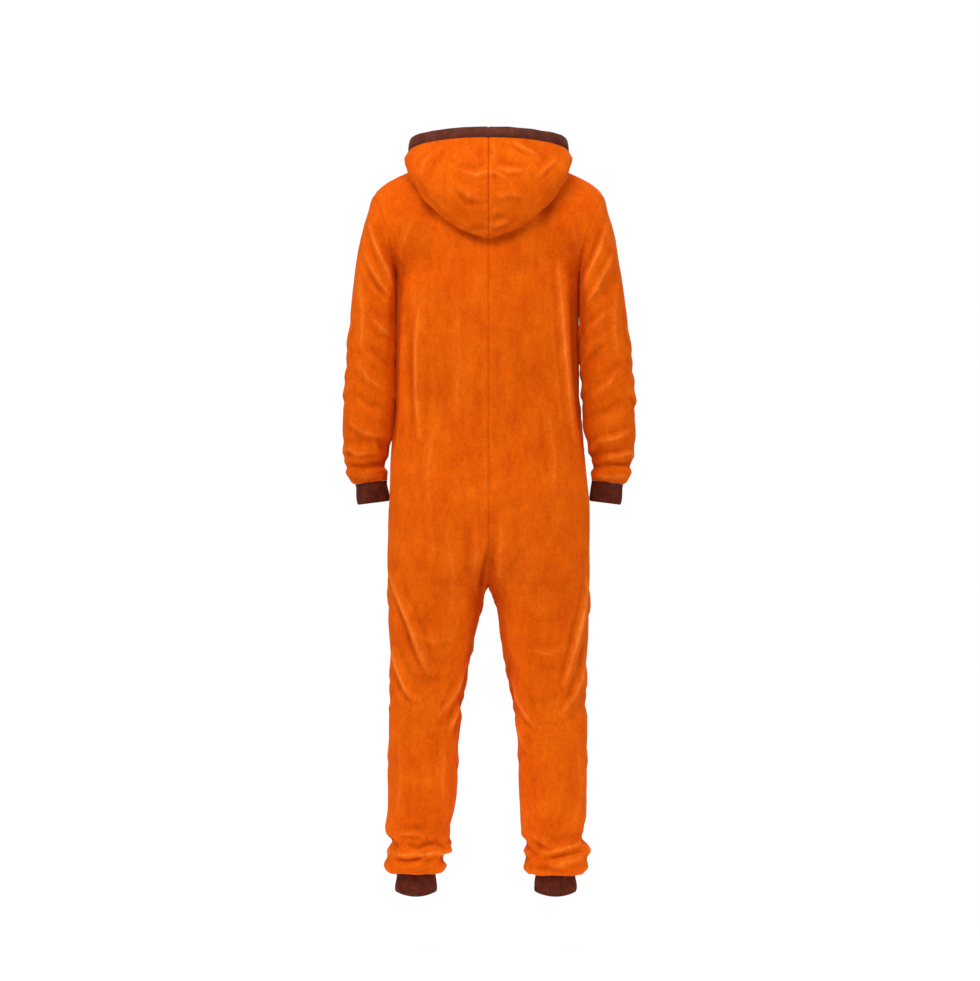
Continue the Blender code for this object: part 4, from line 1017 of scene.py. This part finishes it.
# beside the neck the cloth lies over lower and rounder than the solid
NECK_RADIUS, NECK_TOP = 106 * MM, 32 * MM
NECK_SIDE = 50 * MM        # nearer to the centre than this the hood stays as it is
NECK_EASES, SIDE_EASES = 16 * MM, 18 * MM
NECK_LOWERED = 0.75        # share of what stands above the neck's top that goes
too_high = np.maximum(hood_points[:, 2] - NECK_TOP, 0.0)
from_neck = (np.hypot(hood_points[:, 0], hood_points[:, 1]) - NECK_RADIUS) / NECK_EASES
at_side = soft_step((np.abs(hood_points[:, 0]) - NECK_SIDE) / SIDE_EASES)
hood_points[:, 2] -= NECK_LOWERED * too_high * (1 - soft_step(from_neck)) * at_side
hood_points, hood_normals, hood_colouring = dressed(
    hood_points, hood_cells, hood_kinds, [(np.arange(len(hood_points)), HOOD_CREASES)],
    HOOD_VALLEY)
# the pouch hangs a little lower than the solid, more so towards its tip
SAG, SAG_FULL = 7.5 * MM, 0.085
hood_points[:, 2] -= SAG * soft_step(-hood_points[:, 2] / SAG_FULL)
cut_apart(HOOD, hood_points, hood_cells, hood_kinds, hood_normals, hood_colouring)

# %% [markdown]
# ## The brown band on the hood's edge
# A strip of brown knit is folded over along the face edge, so it shows as a flat, soft
# tube about 23 mm high with a rounded top, and its two halves meet in a small notch at
# the centre back. A plain tube would look like piping, so the section is the strip
# itself: up the outer side, over the top and down the inner side, 2.2 mm thick.

# %% Brown knit
brown_band, tree, shader = finish(
    "knitted_band_brown", [(0.3, "#4f251b"), (0.52, "#5c2d21"), (0.74, "#69372a")],
    [(18 * MM, 1.0, 1.0, 1.0, 0.8 * MM, 0.5),
     (5 * MM, 1.0, 0.90, 1.10, 0.5 * MM, 0.4),
     (1.8 * MM, 1.0, 0.78, 1.22, 0.45 * MM, 0.7)], rough=0.95,
    uniform={"Specular IOR Level": 0.10, "Sheen Weight": 0.22, "Sheen Roughness": 0.45,
             "Sheen Tint": linear("#c47c60")})


# %% The band's path and section
def table_curve(at, table):
    """A smooth curve through a table's rows, which are placed by their first number."""
    places, values = table[:, 0], table[:, 1:]
    slopes = np.gradient(values, places, axis=0)
    i = np.clip(np.searchsorted(places, at) - 1, 0, len(places) - 2)
    span = (places[i + 1] - places[i])[:, None]
    t = (at - places[i])[:, None] / span
    return ((2 * t**3 - 3 * t**2 + 1) * values[i] + (t**3 - 2 * t**2 + t) * span * slopes[i]
            + (3 * t**2 - 2 * t**3) * values[i + 1] + (t**3 - t**2) * span * slopes[i + 1])


# The hood's face edge from the centre back round to the centre front: station, then x,
# y and z in millimetres, and the band's lean towards the neck
FACE_EDGE = np.array([
    (0.00, 0, 124, 67, 0.45), (0.12, 52, 121, 66, 0.45), (0.25, 104, 106, 61, 0.42),
    (0.38, 143, 75, 53, 0.30), (0.50, 160, 30, 42, 0.12), (0.62, 150, -34, 28, 0.08),
    (0.75, 118, -90, 2, 0.10), (0.88, 63, -122, -28, 0.08), (1.00, 0, -125, -44, 0.00),
])
BAND_FOOT, BAND_HEIGHT, BAND_DEPTH = -1.8 * MM, 24.6 * MM, 5.2 * MM
BAND_CLOTH = 2.2 * MM
BAND_STATIONS = 150
BAND_OUTER, BAND_INNER = 27, 8     # points of the section out and over, and inside
BAND_ZIP_GAP = 3.2 * MM
BAND_OUT = 1.0 * MM        # the strip is moved out from the face edge by this
NOTCH = 2.2 * MM           # half the width of the notch at the centre back
# the band is drawn out and stands taller here: share, place along it, half width
TALLER, TALLER_AT, TALLER_WIDTH = 0.13, 0.45, 0.12
WAVE, SWELL = 26 * MM, 17 * MM     # sizes of the waves in its height and in its thickness


def band_section():
    """The folded strip's section: how far up and how deep in, from its outer foot."""
    around = np.linspace(0.0, math.pi, BAND_OUTER)
    # low powers make the section squarer than an ellipse
    outer_up = np.sin(around) ** 0.30
    outer_in = 0.5 - 0.56 * np.sign(np.cos(around)) * np.abs(np.cos(around)) ** 0.55
    outer = np.stack([outer_up * BAND_HEIGHT, outer_in * BAND_DEPTH], axis=1)
    outer[0, 0] = outer[-1, 0] = 0.0
    top = BAND_HEIGHT - BAND_CLOTH
    inner_up = np.array([0.0, 0.35, 0.7, 1.0, 1.0, 0.7, 0.35, 0.0]) * top
    inner_in = BAND_DEPTH / 2 + np.array([1, 1, 1, 0.5, -0.5, -1, -1, -1]) * 0.18 * MM
    return np.concatenate([outer, np.stack([inner_up, inner_in], axis=1)])


def ring_faces(rows, count, start=0, closed=False):
    """Faces between each ring of points and the next, and from the last to the first
    where closed."""
    faces = []
    for i in range(rows if closed else rows - 1):
        here, there = start + i * count, start + (i + 1) % rows * count
        for k in range(count):
            after = (k + 1) % count
            faces.append((here + k, here + after, there + after, there + k))
    return faces


def band_ends(rows, count):
    """Faces that close the band's two ends, in strips from the outer side to the inner."""
    faces = []
    for start in (0, (rows - 1) * count):
        for k in range(BAND_OUTER - 1):
            t, u = (round(n * (BAND_INNER - 1) / (BAND_OUTER - 2)) for n in (k, k + 1))
            a, b, c = start + k, start + k + 1, start + count - 1 - t
            d = max(start + count - 1 - u, start + BAND_OUTER)
            faces.append((a, b, d, c) if c != d else (a, b, c))
    return faces


def band(name, side):
    """One half of the band, from the centre back to the zip, and its length."""
    at = np.linspace(0.0, 1.0, BAND_STATIONS + 1)
    found = table_curve(at, FACE_EDGE)
    rim, lean = found[:, :3] * MM * np.array([side, 1, 1]), found[:, 3:]
    outward = unit(rim * np.array([1.0, 1.0, 0.0]))
    up = unit(np.array([0.0, 0.0, 1.0]) - lean * outward)
    along = unit(np.gradient(rim, axis=0))
    facing = unit(np.cross(along, up) * side)
    facing *= np.where(np.sum(facing * outward, axis=1) < 0, -1.0, 1.0)[:, None]
    length = lengths(rim)
    notch = bell(length / NOTCH)
    wave = np.array([wander(Vector((side * s / WAVE, 3.0, 0.0))) for s in length])
    swell = np.array([wander(Vector((side * s / SWELL, 9.0, 0.0))) for s in length])
    taller = TALLER * bell((at - TALLER_AT) / TALLER_WIDTH)
    section = band_section()
    bulge = np.sin(np.pi * np.clip(section[:, :1] / BAND_HEIGHT, 0, 1))
    rings = []
    for i in range(len(at)):
        # its height waves a little, its thickness more, and both draw in at the notch
        high = section[:, :1] * (1 + 0.035 * wave[i] - 0.07 * notch[i] + taller[i])
        deep = (section[:, 1:] - BAND_DEPTH / 2) * (1 + (0.16 + 0.14 * swell[i]) * bulge
                                                    - 0.30 * notch[i])
        deep += BAND_DEPTH / 2 - BAND_OUT
        rings.append(rim[i] + up[i] * (BAND_FOOT + high) - facing[i] * deep)
    rings = np.array(rings)
    rings[0, :, 0] = -side * OVERLAP
    rings[-1, :, 0] = side * BAND_ZIP_GAP
    faces = ring_faces(*rings.shape[:2]) + band_ends(*rings.shape[:2])
    piece = new_piece(name, rings.reshape(-1, 3), faces, brown_band)
    settle(piece, name.replace("_knit", ""))
    print(f"{name}: {length[-1] / MM:.0f} mm long")
    return piece, length[-1]


for which, side in (("left", 1), ("right", -1)):
    piece, band_length = band(f"hood_band_{which}_knit", side)

# %% [markdown]
# ## Rib-knit cuffs
# The cuffs are a 1 x 1 rib knit: rounded columns of stitches about 5 mm apart with
# narrow valleys between, which is what lets them stretch so far. The ribs are modelled,
# because they show as shape at the cuff's edge; the single stitches in each column are
# too small for that, so they are a bump. The mesh carries two numbers for this: the way
# down, which places the stitches, and one that paints shade into the valleys between the ribs
# and a little light onto their crests.

# %% Rib knit
STITCH = 2.4 * MM          # height of one stitch, drawn about a third too coarse to show
rib_knit, tree, shader = finish(
    "rib_knit_brown", [(0.3, "#4e1e14"), (0.52, "#5b261a"), (0.74, "#692f21")],
    [(14 * MM, 1.0, 1.0, 1.0, 0, 0),
     (4 * MM, 1.6, 0.90, 1.10, 0.4 * MM, 0.4),
     (1.4 * MM, 1.0, 0.80, 1.20, 0.4 * MM, 0.7)],
    # painted shade in the grooves between the ribs, and a little painted light on their crests
    [("rib_groove_shade", 1.10, 0.92, 0.38)], rough=0.94,
    uniform={"Specular IOR Level": 0.08, "Sheen Weight": 0.18, "Sheen Roughness": 0.4,
             "Sheen Tint": linear("#b0654a")})
number = node(tree, "ShaderNodeAttribute", {"attribute_name": "down"}).outputs["Fac"]
turn = node(tree, "ShaderNodeMath", {"operation": "MULTIPLY"}, {1: 2 * math.pi / STITCH},
            {0: number}).outputs[0]
stitch = node(tree, "ShaderNodeMath", {"operation": "SINE"}, links={0: turn}).outputs[0]
under = shader.inputs["Normal"].links[0].from_socket
raised = node(tree, "ShaderNodeBump", {}, {"Distance": 0.25 * MM, "Strength": 0.5},
              {"Height": stitch, "Normal": under})
tree.links.new(raised.outputs["Normal"], shader.inputs["Normal"])

# %% Cuffs
RIB_PITCH, RIB_RISE = 5.0 * MM, 1.1 * MM
RIB_POINTS = 6             # points round each rib
KNIT_WALL = 2.5 * MM
HEM_AT = 0.955             # share of the length where the lower edge begins to round
HEM_FROM = 0.45            # the rounding starts and ends this angle off the two sides
OUTER_ROWS, HEM_ROWS, INNER_ROWS = 26, 5, 10
SEAM_GAP = 0.3 * MM
LUMPY = 1.0 * MM           # the knit is uneven by up to this,
LUMPY_LONG, LUMPY_FROM = 22 * MM, 8 * MM   # over this length, and in full from here down
# how far down, and how much wider than at the seam, in millimetres
WRIST_SHAPE = np.array([(0, 0.0), (6, -0.6), (14, 0.2), (26, 1.0), (36, 0.6), (41.5, -0.8)])
ANKLE_SHAPE = np.array([(0, -1.4), (7, -1.5), (16, -0.4), (28, 1.0), (38, 1.4), (45, 0.0)])


def cuff(name, centre, across, half_depth, axis, drift, shape, dip, seed):
    """A rib-knit tube with a rounded lower edge, from its seam down; at its sides it is
    shorter by the share dip."""
    depth = np.array([0.0, half_depth, 0.0])
    wide = float(np.linalg.norm(across))
    girth = math.pi * (3 * (wide + half_depth)
                       - math.sqrt((3 * wide + half_depth) * (wide + 3 * half_depth)))
    ribs = round(girth / RIB_PITCH)
    turn = np.arange(ribs * RIB_POINTS) * 2 * math.pi / (ribs * RIB_POINTS)
    outward = across * np.cos(turn)[:, None] + depth * np.sin(turn)[:, None]
    direction = unit(outward)
    phase = (turn * ribs / (2 * math.pi)) % 1.0
    crest = np.sqrt(np.maximum(0.0, 1 - (2 * phase - 1) ** 2))
    length = shape[-1, 0] * MM
    reach = (1 - dip * np.cos(turn) ** 2)[:, None]
    # for each ring: down, in from the outer side, how strong the ribs are
    rows = [(length * t, 0.0, 1.0) for t in np.linspace(0.0, HEM_AT, OUTER_ROWS)]
    rows += [(length * HEM_AT + KNIT_WALL * 0.8 * math.sin(a),
              KNIT_WALL / 2 * (1 - math.cos(a)), math.cos(a / 2) ** 2)
             for a in np.linspace(HEM_FROM, math.pi - HEM_FROM, HEM_ROWS)]
    rows += [(length * t, KNIT_WALL, 0.0) for t in np.linspace(HEM_AT, 0.0, INNER_ROWS)]
    rings, downs, rib_groove_shades = [], [], []
    for down, inward, strong in rows:
        middle = centre + axis * SEAM_GAP + (axis + np.array(drift)) * down * reach
        wider = np.interp(down / MM, shape[:, 0], shape[:, 1]) * MM
        soft = np.array([wander(Vector((math.cos(a) * 1.3, math.sin(a) * 1.3,
                                        down / LUMPY_LONG + seed))) for a in turn])
        rise = wider + (crest - 0.6) * RIB_RISE * strong
        rise += LUMPY * soft * min(1, down / LUMPY_FROM)
        rings.append(middle + outward + direction * (rise - inward)[:, None])
        downs.append(np.full(len(turn), down))
        rib_groove_shades.append((1 - crest) * strong)
    faces = ring_faces(len(rows), len(turn), closed=True)
    piece = new_piece(name, np.concatenate(rings), faces, rib_knit,
                      {"down": downs, "rib_groove_shade": rib_groove_shades})
    settle(piece, name.replace("_knit", ""))
    print(f"{name}: {ribs} ribs round {girth / MM:.0f} mm")


# outer and inner x of each seam, for the wrists their outer and inner z too, then the
# rest of the seam's place, all in millimetres
WRISTS = {"left": (268, 204.5, -623.5, -615.5), "right": (-271, -208, -623.5, -615.5)}
ANKLES = {"left": (186, 105), "right": (-176, -93)}
WRIST_Y, ANKLE_Z = -20, -1404
WRIST_DEPTH, ANKLE_DEPTH = 33 * MM, 42 * MM        # half of what they measure front to back
for which, (out_x, in_x, out_z, in_z) in WRISTS.items():
    middle = ((out_x + in_x) / 2 * MM, WRIST_Y * MM, (out_z + in_z) / 2 * MM)
    across = np.array([(out_x - in_x) / 2, 0.0, (out_z - in_z) / 2]) * MM
    down = unit(np.cross(across, [0.0, 1.0, 0.0]))
    down = down if down[2] < 0 else -down
    cuff(f"wrist_cuff_{which}_knit", middle, across, WRIST_DEPTH, down,
         (math.copysign(0.02, out_x), -0.06, 0.0), WRIST_SHAPE, 0.0, 1 + out_x)
for which, (out_x, in_x) in ANKLES.items():
    middle = ((out_x + in_x) / 2 * MM, 0.0, ANKLE_Z * MM)
    across = np.array([(out_x - in_x) / 2, 0.0, 0.0]) * MM
    cuff(f"ankle_cuff_{which}_knit", middle, across, ANKLE_DEPTH, np.array([0.0, 0.0, -1.0]),
         (0.0, 0.0, 0.0), ANKLE_SHAPE, 0.17, 5 + out_x)

# %% [markdown]
# ## The zip
# The zip is hidden in the photograph, so it is a plain one of the usual kind: woven
# polyester tapes behind the two front edges, a chain of moulded acetal teeth in the
# colour of the cloth, and a slider and pull tab of cast zinc with a brass finish. The
# slider and pull keep their solids, with their corners rounded; the teeth are made one
# by one, because a strip with a bump has no teeth at its edges.

# %% Woven tape, moulded teeth, plated metal and thread
TAPE_RIB = 1.6 * MM        # the tape's woven ribs, drawn about twice too coarse to show
woven_tape, tree, shader = finish(
    "woven_polyester_tape", [(0.3, "#b5460a"), (0.7, "#d65c12")],
    [(6 * MM, 1.0, 1.0, 1.0, 0, 0), (0.9 * MM, 0.5, 0.88, 1.1, 0.15 * MM, 0.5)], rough=0.8,
    uniform={"Sheen Weight": 0.1})
place = node(tree, "ShaderNodeTexCoord").outputs["Object"]
weave = node(tree, "ShaderNodeTexWave", {"bands_direction": "Z", "wave_profile": "SIN"},
             {"Scale": 2 * math.pi / (20 * TAPE_RIB), "Distortion": 0.4, "Detail": 1.0},
             {"Vector": place}).outputs["Fac"]
shade = node(tree, "ShaderNodeValToRGB", links={"Fac": weave}, stops=[(0, 0.78), (1, 1.05)])
colour = node(tree, "ShaderNodeMix", {"data_type": "RGBA", "blend_type": "MULTIPLY"}, {0: 1.0},
              {6: shader.inputs["Base Color"].links[0].from_socket, 7: shade.outputs["Color"]})
raised = node(tree, "ShaderNodeBump", {}, {"Distance": 0.3 * MM, "Strength": 0.7},
              {"Height": weave, "Normal": shader.inputs["Normal"].links[0].from_socket})
tree.links.new(colour.outputs[2], shader.inputs["Base Color"])
tree.links.new(raised.outputs["Normal"], shader.inputs["Normal"])

acetal, tree, shader = finish(
    "moulded_acetal_teeth", [(0.3, "#c24e0c"), (0.7, "#d05a14")],
    [(5 * MM, 1.0, 1.0, 1.0, 0.05 * MM, 0.3), (1.2 * MM, 1.0, 0.96, 1.04, 0, 0)],
    rough=(0.34, 0.5), uniform={"IOR": 1.48})

plated, tree, shader = finish(
    "brass_plated_zinc", [(0.3, "#9c7a45"), (0.7, "#c9a566")],
    [(6 * MM, 1.0, 1.0, 1.0, 0, 0), (0.6 * MM, 3.0, 0.94, 1.03, 0.03 * MM, 0.4)],
    rough=(0.24, 0.42), uniform={"Metallic": 1.0})

thread, tree, shader = finish(
    "spun_polyester_thread", [(0.3, "#c04a06"), (0.7, "#e2690f")],
    [(2 * MM, 1.0, 1.0, 1.0, 0, 0), (0.5 * MM, 1.0, 0.88, 1.1, 0.1 * MM, 0.6)], rough=0.6,
    uniform={"Sheen Weight": 0.15})

# %% The tapes
for which in ("left", "right"):
    work = bmesh.new()
    work.from_mesh(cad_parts[f"zip_tape_{which}"].data)
    bmesh.ops.remove_doubles(work, verts=work.verts, dist=SAME)
    bmesh.ops.subdivide_edges(work, edges=work.edges[:], cuts=2, use_grid_fill=True)
    mesh = bpy.data.meshes.new(f"zip_tape_{which}_woven")
    work.to_mesh(mesh)
    work.free()
    mesh.materials.clear()
    mesh.materials.append(woven_tape)
    piece = linked(mesh.name, mesh)
    settle(piece, f"zip_tape_{which}")

# %% The teeth
TOOTH_PITCH = 2.5 * MM     # from one tooth to the next on the same side
CHAIN_TOP_Z = -0.1012      # the chain leaves the slider here
# outline of a tooth that comes from the left: across and along the chain, in millimetres
TOOTH = [(2.9, 0.62), (1.3, 0.62), (0.7, 0.42), (0.0, 0.60), (-0.8, 0.42),
         (-0.8, -0.42), (0.0, -0.60), (0.7, -0.42), (1.3, -0.62), (2.9, -0.62)]
TOOTH_MIDDLE = 1.05        # across; the outline shrinks towards this
# out of the cloth in millimetres, and the outline's size there
TOOTH_LEVELS = [(0.35, 0.66), (0.22, 0.88), (-0.05, 1.0), (-2.0, 1.0)]


def chain_frames(spacing, top, foot):
    """Evenly spaced places down the zip, with the ways down and out at each."""
    line = zip_line[(zip_line[:, 2] < top) & (zip_line[:, 2] > foot)]
    length = lengths(line)
    at = np.arange(0.0, length[-1], spacing)
    places = np.stack([np.interp(at, length, line[:, k]) for k in range(3)], axis=-1)
    down = unit(np.gradient(places, axis=0))
    out = unit(np.cross(down, [1.0, 0.0, 0.0]))
    out *= np.where(out[:, 1:2] > 0, -1.0, 1.0)
    return places, down, out


points, faces = [], []
places, downs, outs = chain_frames(TOOTH_PITCH / 2, CHAIN_TOP_Z, ZIP_FOOT_Z)
for i, (spot, down, out) in enumerate(zip(places, downs, outs)):
    side = 1 if i % 2 == 0 else -1
    start, count = len(points), len(TOOTH)
    for level, size in TOOTH_LEVELS:
        for across, along in TOOTH:
            across = TOOTH_MIDDLE + (across - TOOTH_MIDDLE) * size
            points.append(spot + np.array([side * across * MM, 0, 0])
                          + down * along * size * MM + out * level * MM)
    faces.append(tuple(range(start, start + count)))
    faces += ring_faces(len(TOOTH_LEVELS), count, start)
    faces.append(tuple(range(len(points) - count, len(points))))
teeth = new_piece("zip_chain_teeth", points, faces, acetal)
teeth.data.set_sharp_from_angle(angle=math.radians(40))
settle(teeth, "zip_chain")
print(len(places), "teeth")

# %% The slider and the pull
for name in ("zip_slider", "zip_pull"):
    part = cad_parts[name]
    part.data.materials.clear()
    part.data.materials.append(plated)
    rounding = part.modifiers.new("rounded edges", "BEVEL")
    rounding.width = 0.28 * MM
    rounding.segments = 3
    rounding.limit_method = "ANGLE"
    rounding.angle_limit = math.radians(30)

# %% [markdown]
# ## Topstitching along the zip
# Two rows of stitches hold the front edges to the tapes. Each stitch is a short, fat
# piece of thread that dips into the pile at both ends, so the rows are made of single
# spindles that follow the dressed surface rather than one long cord.

# %% Topstitching
STITCH_LENGTH, STITCH_STEP = 3.2 * MM, 4.0 * MM
THREAD = 0.35 * MM         # half its thickness
ROW_AT = 9.5 * MM          # distance of the rows from the middle of the zip
TACK_LENGTH, TACK_STITCHES = 11 * MM, 7    # the bar tack at the zip's foot
SPINDLE_RINGS, SPINDLE_SIDES = 7, 6
STANDS, DIPS = 0.55 * MM, 0.75 * MM        # a stitch's middle stands out, its ends dip
THINNEST = 0.06            # square of the share of its thickness that an end keeps
CLOTH_POINTS, EVEN = 4, 0.2 * MM           # points of cloth that place a stitch
panel_tree = tree_of(body_points[panel_points])


def on_cloth(place):
    """The nearest place on the dressed cloth, and the way out of it."""
    found = panel_tree.find_n(Vector(place), CLOTH_POINTS)
    weight = np.array([1 / (distance + EVEN) for _, _, distance in found])
    weight /= weight.sum()
    rows = panel_points[[index for _, index, _ in found]]
    normal = unit(weight @ body_normals[rows])
    here = weight @ body_points[rows]
    gap = (here - place) @ normal
    return place + normal * gap, normal


places, downs, _ = chain_frames(STITCH_STEP, ZIP_TOP_Z - 4 * MM, ZIP_FOOT_Z)
SIDEWAYS = np.array([1.0, 0.0, 0.0])
# each stitch: about where, which way, how long
row = [(spot + SIDEWAYS * side * ROW_AT, down, STITCH_LENGTH)
       for spot, down in zip(places, downs) for side in (1, -1)]
# a bar tack of stitches side by side holds the foot of the zip
row += [(zip_line[-1] + downs[-1] * (0.5 + 0.6 * i) * MM, SIDEWAYS, TACK_LENGTH)
        for i in range(TACK_STITCHES)]
points, faces = [], []
for spot, way, length in row:
    here, out = on_cloth(spot)
    across = unit(np.cross(way, out))
    start = len(points)
    for t in np.linspace(-1, 1, SPINDLE_RINGS):
        middle = here + way * t * length / 2 + out * (STANDS - DIPS * t * t)
        thick = THREAD * math.sqrt(max(THINNEST, 1 - t * t))
        for a in np.arange(SPINDLE_SIDES) * 2 * math.pi / SPINDLE_SIDES:
            points.append(middle + (across * math.cos(a) + out * math.sin(a)) * thick)
    faces += ring_faces(SPINDLE_RINGS, SPINDLE_SIDES, start)
    faces.append(tuple(range(start, start + SPINDLE_SIDES)))
    faces.append(tuple(range(len(points) - SPINDLE_SIDES, len(points))))
stitches = new_piece("zip_topstitching", points, faces, thread)
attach(stitches, "garment")
print(len(row), "stitches")
